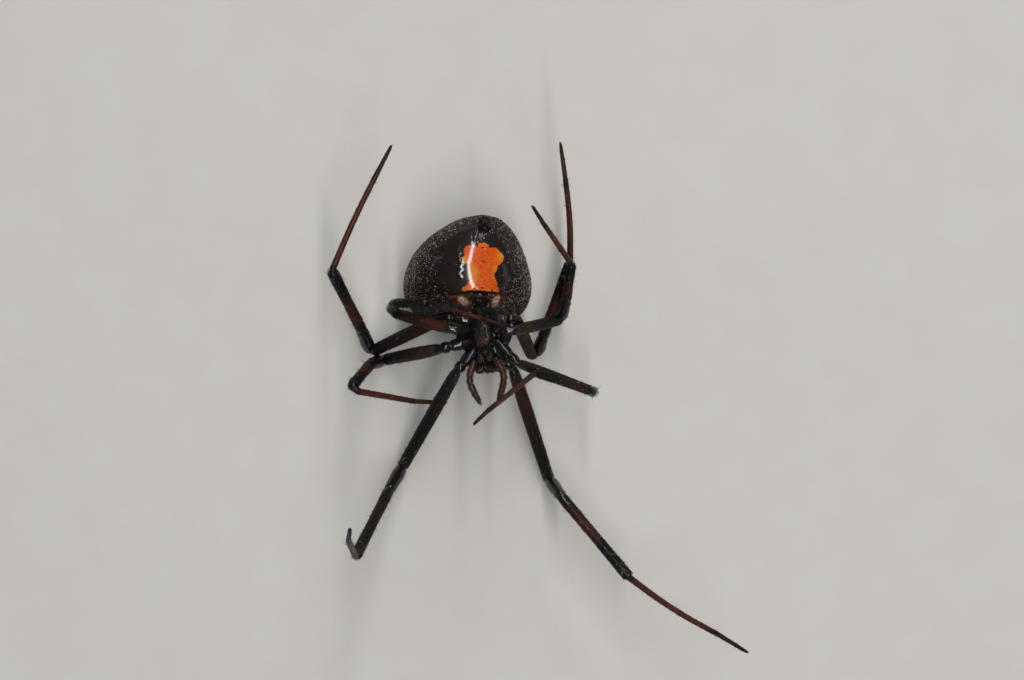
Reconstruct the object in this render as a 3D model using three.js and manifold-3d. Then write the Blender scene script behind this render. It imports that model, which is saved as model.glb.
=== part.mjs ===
// Female black widow spider, life size, belly up, resting on the flat at the top of its back.
// Millimetres. +Z is up, the way the belly faces. +Y runs from head to tail, +X to the spider's right.
import * as THREE from 'three';
import Module from 'manifold-3d';

const wasm = await Module();
wasm.setup();

// Middle of the whole animal in plan, moved onto the origin
const PLAN_CENTRE = [-0.158, 0.098];

// Driving sizes of the body
const GAP = 0.1;
const PROSOMA_CENTRE = [-3.16, 3.71, 5.15];
const PROSOMA_HEADING = -83;
const BODY_ROLL = 10;
const CARAPACE_LENGTH = 3.7;
const CARAPACE_WIDTH = 3.3;
const CARAPACE_REAR = -1.5;
const CARAPACE_MARGIN = -0.05;
const STERNUM_LENGTH = 1.8;
const STERNUM_WIDTH = 1.7;
const STERNUM_TOP = 0.78;
const CHELICERA_LENGTH = 1.15;
const CHELICERA_RADIUS = 0.27;
const FANG_LENGTH = 0.45;
const EYE_RADIUS = 0.12;
const PEDICEL_RADIUS = 0.3;
const ABDOMEN_LENGTH = 6.74;
const ABDOMEN_REAR_Y = 10.63;
const ABDOMEN_MIDDLE_X = -4.12;
const ABDOMEN_REAR_LEAN = 0.85;
const HOURGLASS_PLACE = [-3.24, 7.6];
const HOURGLASS_THICKNESS = 0.15;
const EPIGYNUM_SIZE = [0.4, 0.36, 0.5];
const SPINNERET_LENGTH = 0.42;
const SPINNERET_RADIUS = 0.13;

// Stations along the abdomen, rear to front: share of length, half width, belly height, back height
const ABDOMEN_STATIONS = [
  [0.0, 0.0, 4.3, 4.3],
  [0.03, 0.98, 5.15, 3.45],
  [0.1, 1.8, 5.95, 2.5],
  [0.2, 2.55, 6.5, 1.5],
  [0.32, 3.12, 6.88, 0.65],
  [0.45, 3.5, 7.08, 0.12],
  [0.58, 3.7, 7.08, -0.14],
  [0.68, 3.68, 6.8, -0.23],
  [0.75, 3.55, 6.15, -0.23],
  [0.81, 3.35, 4.8, -0.1],
  [0.86, 3.05, 3.55, 0.25],
  [0.91, 2.62, 2.8, 0.7],
  [0.97, 1.6, 2.3, 1.2],
  [1.0, 0.0, 1.75, 1.75],
];

// Outline of the hourglass mark about its middle
const HOURGLASS_OUTLINE = [
  [-1.18, -1.32],
  [0.99, -1.43],
  [0.73, -0.72],
  [0.84, -0.17],
  [1.1, 0.23],
  [1.2, 0.64],
  [0.84, 1.11],
  [0.4, 1.12],
  [0.1, 1.4],
  [-0.2, 1.14],
  [-0.82, 1.24],
  [-1.06, 1.02],
  [-1.13, 0.4],
  [-0.78, 0.02],
  [-0.78, -0.81],
];

// Lengths of the leg segments of each pair, hip to tip
const SEGMENTS = ['femur', 'patella', 'tibia', 'metatarsus', 'tarsus'];
const LEG_LENGTHS = {
  1: { femur: 7.9, patella: 2.1, tibia: 6.2, metatarsus: 7.4, tarsus: 2.2 },
  2: { femur: 5.6, patella: 1.9, tibia: 3.7, metatarsus: 5.1, tarsus: 1.9 },
  3: { femur: 4.8, patella: 1.6, tibia: 2.6, metatarsus: 4.0, tarsus: 1.6 },
  4: { femur: 6.1, patella: 2.1, tibia: 5.0, metatarsus: 6.4, tarsus: 2.0 },
};

// Radii along each segment: start, middle, end
const LEG_RADII = {
  coxa: [0.24, 0.34, 0.31],
  femur: [0.32, 0.39, 0.35],
  patella: [0.33, 0.37, 0.34],
  tibia: [0.32, 0.31, 0.33],
  metatarsus: [0.26, 0.25, 0.25],
  tarsus: [0.25, 0.2, 0.1],
};
const KNEE_BEND_RADIUS = 0.42;
const LEG_SIDES = 10;

// Girth of the slim and the stout legs, as a share of the radii above
const LEG_GIRTHS = { left_leg_3: 0.9, left_leg_4: 1.05, right_leg_2: 0.85, right_leg_3: 0.9 };

// How far the middle of a bent metatarsus stands off to the left of its straight line
const METATARSUS_BOWS = { left_leg_4: 0.08, right_leg_1: -0.16, right_leg_4: -0.11 };

// Where each coxa leaves the sternum: forward and sideways from the middle of the prosoma
const COXA_ROOTS = {
  1: [0.88, 0.72],
  2: [0.32, 0.99],
  3: [-0.32, 0.99],
  4: [-0.86, 0.72],
};
const COXA_ROOT_HEIGHT = 0.5;

// Pose of each leg: hip place, then heading in the ground plane and slope of each segment, degrees
const LEG_POSES = {
  left_leg_1: {
    hip: [-4.71, 1.58, 5.5],
    femur: [-120, -34],
    patella: [-119, 44],
    tibia: [-116, 50],
    metatarsus: [95, 80],
    tarsus: [76, 70],
  },
  left_leg_2: {
    hip: [-5.68, 2.85, 5.75],
    femur: [-169, -52],
    patella: [-162, 67],
    tibia: [-128, 60],
    metatarsus: [-11, -42],
    tarsus: [-2, 17],
  },
  left_leg_3: {
    hip: [-4.92, 3.94, 6.8],
    femur: [164, -37],
    patella: [58, 70],
    tibia: [2, 41],
    metatarsus: [-17, 29],
    tarsus: [-17, 31],
  },
  left_leg_4: {
    hip: [-5.46, 4.69, 5.45],
    femur: [-155, -38],
    patella: [110, 49],
    tibia: [115, 42],
    metatarsus: [65, 2],
    tarsus: [65, -39],
  },
  right_leg_1: {
    hip: [-1.5, 1.75, 4.9],
    femur: [-72, -29],
    patella: [-53, 58],
    tibia: [-50, 4],
    metatarsus: [-31, 39],
    tarsus: [-30, 35],
  },
  right_leg_2: {
    hip: [-1.19, 2.04, 5.9],
    femur: [-21, -32],
    patella: [162, 85],
    tibia: [161, 22],
    metatarsus: [-142, 46],
    tarsus: [-137, 59],
  },
  right_leg_3: {
    hip: [-1.65, 3.85, 6.95],
    femur: [13, -51],
    patella: [74, 43],
    tibia: [83, 36],
    metatarsus: [126, 47],
    tarsus: [124, 44],
  },
  right_leg_4: {
    hip: [-1.31, 4.63, 5.9],
    femur: [-67, -63],
    patella: [71, 45],
    tibia: [70, 23],
    metatarsus: [94, 42],
    tarsus: [98, 3],
  },
};

// Materials
const look = (color, roughness) => new THREE.MeshStandardMaterial({ color, roughness, metalness: 0 });
const blackCuticle = () => look(0x0c0a0a, 0.25);
const brownCuticle = () => look(0x4a2a1c, 0.4);
const darkBrownCuticle = () => look(0x24170f, 0.4);
const orangeMark = () => look(0xe8570f, 0.35);
const eyeGloss = () => look(0x050506, 0.08);

const vec = (x, y, z) => new THREE.Vector3(x, y, z);
const radians = (degrees) => (degrees * Math.PI) / 180;

// Unit vector from a heading in the ground plane and a slope, both in degrees
function direction([heading, slope]) {
  const h = radians(heading);
  const s = radians(slope);
  return vec(Math.cos(s) * Math.cos(h), Math.cos(s) * Math.sin(h), Math.sin(s));
}

// Prosoma axes: forward, to the right, and out of the belly
const FORWARD = direction([PROSOMA_HEADING, 0]);
const BELLY = vec(0, 0, 1).applyAxisAngle(FORWARD, radians(-BODY_ROLL));
const RIGHT = vec(0, 0, 0).crossVectors(BELLY, FORWARD);

// Point of the prosoma from its forward, sideways and belly coordinates
function onProsoma(forward, right, belly) {
  return vec(...PROSOMA_CENTRE)
    .addScaledVector(FORWARD, forward)
    .addScaledVector(RIGHT, right)
    .addScaledVector(BELLY, belly);
}

// Closed skin through rings of points, ended by a point at each end
function loft(rings, firstTip, lastTip) {
  const sides = rings[0].length;
  const points = [firstTip, ...rings.flat(), lastTip];
  const last = points.length - 1;
  const faces = [];
  const at = (ring, side) => 1 + ring * sides + (side % sides);
  for (let s = 0; s < sides; s += 1) {
    faces.push([0, at(0, s + 1), at(0, s)]);
    faces.push([last, at(rings.length - 1, s), at(rings.length - 1, s + 1)]);
    for (let r = 0; r + 1 < rings.length; r += 1) {
      faces.push([at(r, s), at(r, s + 1), at(r + 1, s + 1)]);
      faces.push([at(r, s), at(r + 1, s + 1), at(r + 1, s)]);
    }
  }
  return solid(points, faces);
}

// Solid from points and triangles, turned so that its faces look outward
function solid(points, faces) {
  let volume = 0;
  for (const [a, b, c] of faces) {
    volume += points[a].dot(vec(0, 0, 0).crossVectors(points[b], points[c]));
  }
  const turned = volume < 0 ? faces.map(([a, b, c]) => [a, c, b]) : faces;
  return new wasm.Manifold(
    new wasm.Mesh({
      numProp: 3,
      vertProperties: new Float32Array(points.flatMap((p) => [p.x, p.y, p.z])),
      triVerts: new Uint32Array(turned.flat()),
    }),
  );
}

// Box between two corners
function box(low, high) {
  const geometry = new THREE.BoxGeometry(high.x - low.x, high.y - low.y, high.z - low.z);
  geometry.translate((high.x + low.x) / 2, (high.y + low.y) / 2, (high.z + low.z) / 2);
  return fromGeometry(geometry);
}

// Ball of a radius about a centre
function ball(centre, radius, sides = 12) {
  const rings = [];
  const levels = Math.round(sides / 2);
  for (let k = 1; k < levels; k += 1) {
    const polar = (Math.PI * k) / levels;
    const ring = [];
    for (let s = 0; s < sides; s += 1) {
      const around = (2 * Math.PI * s) / sides;
      ring.push(
        vec(Math.sin(polar) * Math.cos(around), Math.sin(polar) * Math.sin(around), Math.cos(polar))
          .multiplyScalar(radius)
          .add(centre),
      );
    }
    rings.push(ring);
  }
  return loft(rings, vec(0, 0, radius).add(centre), vec(0, 0, -radius).add(centre));
}

// Solid from an ordinary closed geometry, its doubled corners joined
function fromGeometry(geometry) {
  const position = geometry.attributes.position;
  const index = geometry.index ? [...geometry.index.array] : [...Array(position.count).keys()];
  const seen = new Map();
  const points = [];
  const renamed = [];
  for (let k = 0; k < position.count; k += 1) {
    const p = vec(position.getX(k), position.getY(k), position.getZ(k));
    const key = [p.x, p.y, p.z].map((c) => Math.round(c * 1e5)).join();
    if (!seen.has(key)) {
      seen.set(key, points.length);
      points.push(p);
    }
    renamed.push(seen.get(key));
  }
  const faces = [];
  for (let k = 0; k < index.length; k += 3) {
    const face = [renamed[index[k]], renamed[index[k + 1]], renamed[index[k + 2]]];
    if (new Set(face).size === 3) {
      faces.push(face);
    }
  }
  return solid(points, faces);
}

// Largest closed piece of a solid
function largest(body) {
  const pieces = body.decompose();
  pieces.sort((a, b) => b.volume() - a.volume());
  return pieces[0];
}

const aboveFloor = box(vec(-30, -30, 0), vec(30, 30, 30));

const group = new THREE.Group();
group.name = 'black_widow';

// Named node from a solid
function addNode(name, body, material) {
  const mesh = largest(body).getMesh();
  const geometry = new THREE.BufferGeometry();
  const step = mesh.numProp;
  const count = mesh.vertProperties.length / step;
  const positions = new Float32Array(count * 3);
  for (let k = 0; k < count; k += 1) {
    positions.set(mesh.vertProperties.subarray(k * step, k * step + 3), k * 3);
  }
  geometry.setAttribute('position', new THREE.BufferAttribute(positions, 3));
  geometry.translate(-PLAN_CENTRE[0], -PLAN_CENTRE[1], 0);
  geometry.setIndex([...mesh.triVerts]);
  geometry.computeVertexNormals();
  const node = new THREE.Mesh(geometry, material);
  node.name = name;
  group.add(node);
}

// Smooth value at a share of the way through rows of stations, first column the share
function station(rows, share, column) {
  let k = 0;
  while (k < rows.length - 2 && share > rows[k + 1][0]) {
    k += 1;
  }
  const at = (i) => rows[Math.min(rows.length - 1, Math.max(0, i))];
  const span = at(k + 1)[0] - at(k)[0];
  const s = Math.min(1, Math.max(0, (share - at(k)[0]) / span));
  const slope = (i) => {
    const width = at(i + 1)[0] - at(i - 1)[0];
    return width > 0 ? (at(i + 1)[column] - at(i - 1)[column]) / width : 0;
  };
  const h00 = (1 + 2 * s) * (1 - s) * (1 - s);
  const h10 = s * (1 - s) * (1 - s);
  const h01 = s * s * (3 - 2 * s);
  const h11 = s * s * (s - 1);
  return (
    h00 * at(k)[column] + h10 * span * slope(k) + h01 * at(k + 1)[column] + h11 * span * slope(k + 1)
  );
}

// Tube along a row of path points, its radius a function of the share of the way
function tube(path, radiusAt, sides = LEG_SIDES) {
  const lengths = [0];
  for (let k = 1; k < path.length; k += 1) {
    lengths.push(lengths[k - 1] + path[k].distanceTo(path[k - 1]));
  }
  const total = lengths[lengths.length - 1];
  const tangentAt = (k) =>
    path[Math.min(path.length - 1, k + 1)].clone().sub(path[Math.max(0, k - 1)]).normalize();
  let across = vec(0, 0, 0);
  const rings = path.map((centre, k) => {
    const tangent = tangentAt(k);
    if (k === 0) {
      across = Math.abs(tangent.z) < 0.9 ? vec(0, 0, 1) : vec(1, 0, 0);
    }
    across = across.clone().addScaledVector(tangent, -across.dot(tangent)).normalize();
    const up = vec(0, 0, 0).crossVectors(tangent, across);
    const radius = radiusAt(lengths[k] / total);
    const ring = [];
    for (let s = 0; s < sides; s += 1) {
      const around = (2 * Math.PI * s) / sides;
      ring.push(
        centre
          .clone()
          .addScaledVector(across, radius * Math.cos(around))
          .addScaledVector(up, radius * Math.sin(around)),
      );
    }
    return ring;
  });
  return loft(rings, path[0].clone(), path[path.length - 1].clone());
}

// Radius profile through a start, middle and end value
function profile([start, middle, end]) {
  return (s) => start * (1 - s) * (1 - 2 * s) + 4 * middle * s * (1 - s) + end * s * (2 * s - 1);
}

// Leg path from joint to joint with round bends: one list of points per segment
function bentPath(joints, bendRadius) {
  const along = [];
  const lengths = [];
  for (let k = 0; k + 1 < joints.length; k += 1) {
    const step = joints[k + 1].clone().sub(joints[k]);
    lengths.push(step.length());
    along.push(step.normalize());
  }
  const turn = [0];
  const reach = [0];
  for (let k = 1; k + 1 < joints.length; k += 1) {
    turn.push(Math.acos(Math.min(1, Math.max(-1, along[k - 1].dot(along[k])))));
    reach.push(bendRadius * Math.tan(turn[k] / 2));
  }
  turn.push(0);
  reach.push(0);
  for (let k = 0; k < along.length; k += 1) {
    const room = (0.96 * lengths[k]) / Math.max(1e-9, reach[k] + reach[k + 1]);
    if (room < 1) {
      reach[k] *= room;
      reach[k + 1] *= room;
    }
  }
  const bendPoint = (k, share) => {
    const into = along[k - 1];
    const toward = along[k].clone().addScaledVector(into, -along[k].dot(into)).normalize();
    const radius = reach[k] / Math.tan(turn[k] / 2);
    const angle = turn[k] * share;
    return joints[k]
      .clone()
      .addScaledVector(into, -reach[k] + radius * Math.sin(angle))
      .addScaledVector(toward, radius * (1 - Math.cos(angle)));
  };
  return along.map((unused, k) => {
    const points = [];
    const bent = (j) => turn[j] > 0.02;
    const steps = (j) => Math.max(1, Math.ceil(turn[j] / 2 / radians(16)));
    if (bent(k)) {
      for (let s = 0; s < steps(k); s += 1) {
        points.push(bendPoint(k, 0.5 + (0.5 * s) / steps(k)));
      }
    }
    const from = joints[k].clone().addScaledVector(along[k], reach[k]);
    const to = joints[k + 1].clone().addScaledVector(along[k], -reach[k + 1]);
    const parts = from.distanceTo(to) > 0.3 ? 4 : 1;
    for (let s = 0; s <= parts; s += 1) {
      points.push(from.clone().lerp(to, s / parts));
    }
    if (bent(k + 1)) {
      for (let s = 1; s <= steps(k + 1); s += 1) {
        points.push(bendPoint(k + 1, (0.5 * s) / steps(k + 1)));
      }
    }
    return points;
  });
}

// Path bowed sideways in plan, most in its middle and not at its ends
function bowed(points, bow) {
  const from = points[0];
  const to = points[points.length - 1];
  const left = vec(from.y - to.y, to.x - from.x, 0).normalize();
  return points.map((p) => {
    const share = p.distanceTo(from) / (p.distanceTo(from) + p.distanceTo(to));
    return p.clone().addScaledVector(left, bow * Math.sin(Math.PI * share));
  });
}

// Path shortened at its start and end, so that neighbouring segments keep their gap
function trimmed(points, startCut, endCut) {
  const path = points.map((p) => p.clone());
  const cut = (list, amount) => {
    let left = amount;
    while (left > 0 && list.length > 2 && list[0].distanceTo(list[1]) <= left) {
      left -= list[0].distanceTo(list[1]);
      list.shift();
    }
    if (left > 0) {
      list[0].addScaledVector(list[1].clone().sub(list[0]).normalize(), left);
    }
    if (list.length > 2 && list[0].distanceTo(list[1]) < 0.03) {
      list.splice(1, 1);
    }
  };
  cut(path, startCut);
  path.reverse();
  cut(path, endCut);
  path.reverse();
  return path;
}

// Carapace: half width and depth of its domed back at a distance along it
const CARAPACE_SECTIONS = [
  [0.0, 0.3, 0.25],
  [0.05, 0.8, 0.62],
  [0.2, 1.42, 1.12],
  [0.4, 1.65, 1.3],
  [0.55, 1.5, 1.28],
  [0.7, 1.05, 1.38],
  [0.85, 0.88, 1.5],
  [0.95, 0.76, 1.3],
  [1.0, 0.5, 0.85],
];

function carapaceSection(share) {
  const half = (station(CARAPACE_SECTIONS, share, 1) * CARAPACE_WIDTH) / 3.3;
  return [half, station(CARAPACE_SECTIONS, share, 2)];
}

function makeCarapace() {
  const rings = [];
  const steps = 18;
  const sides = 24;
  for (let k = 0; k <= steps; k += 1) {
    const share = 0.5 - 0.5 * Math.cos((Math.PI * k) / steps);
    const [half, depth] = carapaceSection(share);
    const groove = 0.16 * Math.exp(-(((share - 0.42) / 0.1) ** 2));
    const ring = [];
    for (let s = 0; s < sides; s += 1) {
      const around = (2 * Math.PI * s) / sides;
      const right = half * Math.cos(around);
      const under = Math.sin(around);
      const dent = groove * Math.exp(-((right / 0.25) ** 2));
      const belly =
        under > 0 ? CARAPACE_MARGIN - (depth - dent) * under : CARAPACE_MARGIN - 0.02 * under;
      ring.push(onProsoma(CARAPACE_REAR + CARAPACE_LENGTH * share, right, belly));
    }
    rings.push(ring);
  }
  const rear = onProsoma(CARAPACE_REAR - 0.08, 0, CARAPACE_MARGIN - 0.12);
  const front = onProsoma(CARAPACE_REAR + CARAPACE_LENGTH + 0.06, 0, CARAPACE_MARGIN - 0.4);
  return loft(rings, rear, front);
}

// How far forward the face of the carapace stands at a sideways and belly place
function faceOfCarapace(right, belly) {
  let share = 1;
  while (share > 0.5) {
    const [half, depth] = carapaceSection(share);
    if ((right / half) ** 2 + ((belly - CARAPACE_MARGIN) / depth) ** 2 < 1) {
      break;
    }
    share -= 0.005;
  }
  return CARAPACE_REAR + CARAPACE_LENGTH * share;
}

// Eyes: sideways place and depth below the margin of the carapace, in two rows of four
const EYE_PLACES = {
  front_middle: [0.15, -0.52, 1.0],
  front_side: [0.45, -0.5, 0.85],
  rear_middle: [0.19, -0.92, 0.95],
  rear_side: [0.55, -0.86, 0.85],
};

let carapace = makeCarapace();
for (const [place, [right, belly, scale]] of Object.entries(EYE_PLACES)) {
  for (const side of [-1, 1]) {
    const centre = onProsoma(faceOfCarapace(right, belly), side * right, belly);
    carapace = carapace.subtract(ball(centre, EYE_RADIUS * scale + GAP / 2));
    const name = `eye_${place}_${side < 0 ? 'left' : 'right'}`;
    addNode(name, ball(centre, EYE_RADIUS * scale, 10), eyeGloss());
  }
}
addNode('carapace', carapace, blackCuticle());

// Plate of the prosoma from an outline in forward and sideways places, with a domed top
function plate(outline, low, high, dome) {
  const mean = (axis) => outline.reduce((sum, p) => sum + p[axis], 0) / outline.length;
  const middle = [mean(0), mean(1)];
  const shrunk = (share, belly) =>
    outline.map(([f, r]) =>
      onProsoma(middle[0] + (f - middle[0]) * share, middle[1] + (r - middle[1]) * share, belly),
    );
  const rings = [
    shrunk(1, low),
    shrunk(1, high - dome),
    shrunk(0.85, high - dome * 0.35),
    shrunk(0.5, high),
  ];
  return loft(rings, onProsoma(...middle, low), onProsoma(...middle, high + dome * 0.1));
}

// Sternum: a shield, broad in front and pointed behind
function makeSternum() {
  const outline = [];
  const count = 20;
  for (let k = 0; k < count; k += 1) {
    const around = (2 * Math.PI * k) / count;
    const forward = 0.5 * STERNUM_LENGTH * Math.cos(around);
    const narrow = 0.72 + 0.28 * Math.cos(around * 0.5) ** 2;
    const right = 0.5 * STERNUM_WIDTH * Math.sin(around) * narrow;
    outline.push([forward * 0.96 - 0.06, right]);
  }
  return plate(outline, CARAPACE_MARGIN + 0.17, STERNUM_TOP, 0.16);
}
addNode('sternum', makeSternum(), blackCuticle());

// Mouthparts: the labium in the middle and a lobe on each side of it
function makeMouthparts() {
  const lobe = (centre, size, turn) => {
    const outline = [];
    for (let k = 0; k < 14; k += 1) {
      const around = (2 * Math.PI * k) / 14;
      const f = size[0] * Math.cos(around);
      const r = size[1] * Math.sin(around);
      const c = Math.cos(radians(turn));
      const s = Math.sin(radians(turn));
      outline.push([centre[0] + f * c - r * s, centre[1] + f * s + r * c]);
    }
    return plate(outline, CARAPACE_MARGIN + 0.17, 0.62, 0.14);
  };
  const labium = lobe([1.06, 0], [0.2, 0.26], 0);
  const left = lobe([1.24, -0.3], [0.36, 0.2], 14);
  const right = lobe([1.24, 0.3], [0.36, 0.2], -14);
  return labium.add(left).add(right);
}
addNode('mouthparts', makeMouthparts(), blackCuticle());

// Jaws: a stout base with a fang curving inward from its end
for (const side of [-1, 1]) {
  const foot = onProsoma(1.97, side * 0.3, CARAPACE_MARGIN + 0.2);
  const end = onProsoma(2.05, side * 0.33, CARAPACE_MARGIN + 0.2 + CHELICERA_LENGTH);
  const base = [0, 0.12, 0.3, 0.6, 0.85, 1].map((s) => foot.clone().lerp(end, s));
  const baseRadius = (s) => CHELICERA_RADIUS * (0.75 + 0.9 * s - 0.95 * s * s);
  const fang = [0, 0.35, 0.7, 1].map((s) =>
    end
      .clone()
      .addScaledVector(BELLY, -0.08 + 0.1 * Math.sin(Math.PI * s))
      .addScaledVector(RIGHT, -side * s * FANG_LENGTH * 0.5)
      .addScaledVector(FORWARD, 0.05 - s * FANG_LENGTH * 0.5),
  );
  const body = tube(base, baseRadius, 14).add(tube(fang, (s) => 0.1 * (1.1 - s), 8));
  addNode(side < 0 ? 'chelicera_left' : 'chelicera_right', body, blackCuticle());
}

// Feelers beside the mouth, reaching forward and turning inward
for (const side of [-1, 1]) {
  const joints = [
    onProsoma(1.44, side * 0.62, 0.66),
    onProsoma(2.3, side * 0.98, 0.8),
    onProsoma(2.7, side * 1.0, 0.84),
    onProsoma(3.2, side * 0.86, 0.88),
    onProsoma(3.95, side * 0.52, 0.94),
  ];
  const path = bentPath(joints, 0.4).flatMap((points, k) => (k ? points.slice(1) : points));
  const radius = (s) => 0.22 + 0.03 * Math.sin(3 * Math.PI * s) - 0.12 * s ** 6;
  addNode(side < 0 ? 'palp_left' : 'palp_right', tube(path, radius), darkBrownCuticle());
}

// Legs: coxa, femur, patella, tibia and foot, each its own node
for (const [name, pose] of Object.entries(LEG_POSES)) {
  const pair = name.slice(-1);
  const side = name.startsWith('left') ? -1 : 1;
  const [forward, right] = COXA_ROOTS[pair];
  const joints = [onProsoma(forward, side * right, COXA_ROOT_HEIGHT), vec(...pose.hip)];
  for (const segment of SEGMENTS) {
    const step = direction(pose[segment]).multiplyScalar(LEG_LENGTHS[pair][segment]);
    joints.push(joints[joints.length - 1].clone().add(step));
  }
  const paths = bentPath(joints, KNEE_BEND_RADIUS);
  const half = GAP / 2;
  const girth = LEG_GIRTHS[name] ?? 1;
  const segmentLooks = {
    coxa: blackCuticle(),
    femur: darkBrownCuticle(),
    patella: blackCuticle(),
    tibia: brownCuticle(),
  };
  Object.entries(segmentLooks).forEach(([segment, material], k) => {
    const path = trimmed(paths[k], k ? half : 0, half);
    const radii = LEG_RADII[segment].map((radius) => radius * girth);
    const body = tube(path, profile(radii)).intersect(aboveFloor);
    addNode(`${name}_${segment}`, body, material);
  });
  const shin = bowed(trimmed(paths[4], half, 0), METATARSUS_BOWS[name] ?? 0);
  const foot = [...shin, ...paths[5].slice(1)];
  const { metatarsus, tarsus } = LEG_LENGTHS[pair];
  const split = metatarsus / (metatarsus + tarsus);
  const shinRadius = profile(LEG_RADII.metatarsus);
  const footRadius = profile(LEG_RADII.tarsus);
  const radius = (s) => (s < split ? shinRadius(s / split) : footRadius((s - split) / (1 - split)));
  addNode(`${name}_tarsus`, tube(foot, radius), brownCuticle());
}

// Narrow waist between the prosoma and the abdomen
const waistStart = onProsoma(-1.06, 0, 0.42);
const waistEnd = vec(-3.5, 5.18, 5.52);
const waistPath = [waistStart, waistStart.clone().lerp(waistEnd, 0.5), waistEnd];
addNode('pedicel', tube(waistPath, () => PEDICEL_RADIUS), blackCuticle());

// Abdomen: oval sections along its length, drawn in by an inset
function makeAbdomen(inset) {
  const steps = 30;
  const sides = 36;
  const rings = [];
  const sectionAt = (share) => {
    const y = ABDOMEN_REAR_Y - ABDOMEN_LENGTH * share;
    const lean = share < 0.5 ? ABDOMEN_REAR_LEAN * (1 - share / 0.5) ** 2 : 0;
    return [ABDOMEN_MIDDLE_X + lean, y];
  };
  for (let k = 1; k < steps; k += 1) {
    const share = 0.5 - 0.5 * Math.cos((Math.PI * k) / steps);
    const [x, y] = sectionAt(share);
    const half = Math.max(0.05, station(ABDOMEN_STATIONS, share, 1) - inset);
    const top = station(ABDOMEN_STATIONS, share, 2);
    const bottom = station(ABDOMEN_STATIONS, share, 3);
    const height = Math.max(0.05, (top - bottom) / 2 - inset);
    const middle = (top + bottom) / 2;
    const ring = [];
    for (let s = 0; s < sides; s += 1) {
      const around = (2 * Math.PI * s) / sides;
      ring.push(vec(x + half * Math.cos(around), y, middle + height * Math.sin(around)));
    }
    rings.push(ring);
  }
  const tips = [0, 1].map((share) => {
    const [x, y] = sectionAt(share);
    return vec(x, y + (share ? inset : -inset), station(ABDOMEN_STATIONS, share, 2));
  });
  return loft(rings, tips[0], tips[1]);
}

// Upright prism over the hourglass outline, widened by a margin
function hourglassPrism(margin) {
  const ring = (z) =>
    HOURGLASS_OUTLINE.map(([x, y]) => {
      const reach = Math.hypot(x, y);
      const grow = 1 + margin / reach;
      return vec(HOURGLASS_PLACE[0] + x * grow, HOURGLASS_PLACE[1] + y * grow, z);
    });
  return loft([ring(5), ring(9)], vec(...HOURGLASS_PLACE, 5), vec(...HOURGLASS_PLACE, 9));
}

const whole = makeAbdomen(0);
const mark = hourglassPrism(0).intersect(whole).subtract(makeAbdomen(HOURGLASS_THICKNESS));
const recess = hourglassPrism(GAP * 0.6).subtract(makeAbdomen(HOURGLASS_THICKNESS + GAP * 0.6));
addNode('hourglass', mark, orangeMark());

// Knob behind the waist: an oval dome on the steep front of the belly, parted from it by the gap
const EPIGYNUM_PLACE = vec(-3.49, 5.69, 6.1);
const EPIGYNUM_SLOPE = 1.1;
function makeEpigynum() {
  const levels = [
    [0, 1],
    [0.6, 1],
    [0.85, 0.82],
    [0.97, 0.45],
  ];
  const rings = levels.map(([rise, share]) => {
    const ring = [];
    for (let a = 0; a < 16; a += 1) {
      const around = (2 * Math.PI * a) / 16;
      const x = EPIGYNUM_SIZE[0] * share * Math.cos(around);
      const y = EPIGYNUM_SIZE[1] * share * Math.sin(around);
      ring.push(vec(x, y, EPIGYNUM_SIZE[2] * rise + EPIGYNUM_SLOPE * y).add(EPIGYNUM_PLACE));
    }
    return ring;
  });
  const top = EPIGYNUM_PLACE.clone().add(vec(0, 0, EPIGYNUM_SIZE[2]));
  return loft(rings, EPIGYNUM_PLACE.clone(), top).subtract(makeAbdomen(-GAP));
}
addNode('epigynum', makeEpigynum(), blackCuticle());

// Spinnerets: three pairs of short cones on one base, near the rear of the belly
const SPINNERET_PLACE = vec(-3.13, 9.98, 6.05);
const SPINNERET_PAIRS = [
  [0.2, 0.2, 0.2],
  [0.13, 0, 0.08],
  [0.22, -0.18, 0.25],
];
function makeSpinnerets() {
  const out = vec(0, 0.55, 0.84).normalize();
  const base = [0, 0.1, 0.2].map((s) => SPINNERET_PLACE.clone().addScaledVector(out, s));
  let body = tube(base, (s) => 0.44 - 0.08 * s, 16);
  for (const [across, along, lean] of SPINNERET_PAIRS) {
    for (const side of [-1, 1]) {
      const root = SPINNERET_PLACE.clone().add(vec(side * across, along * 0.84, -along * 0.55));
      const aim = out.clone().add(vec(-side * lean, 0, 0)).normalize();
      const path = [0.05, 0.5, 0.85, 1].map((s) =>
        root.clone().addScaledVector(aim, s * (SPINNERET_LENGTH + 0.1)),
      );
      body = body.add(tube(path, (s) => SPINNERET_RADIUS * (1 - 0.55 * s ** 2), 8));
    }
  }
  return body;
}
addNode('spinnerets', makeSpinnerets(), blackCuticle());
addNode('abdomen', whole.subtract(recess).intersect(aboveFloor), blackCuticle());

export default group;
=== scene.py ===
import math

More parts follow.
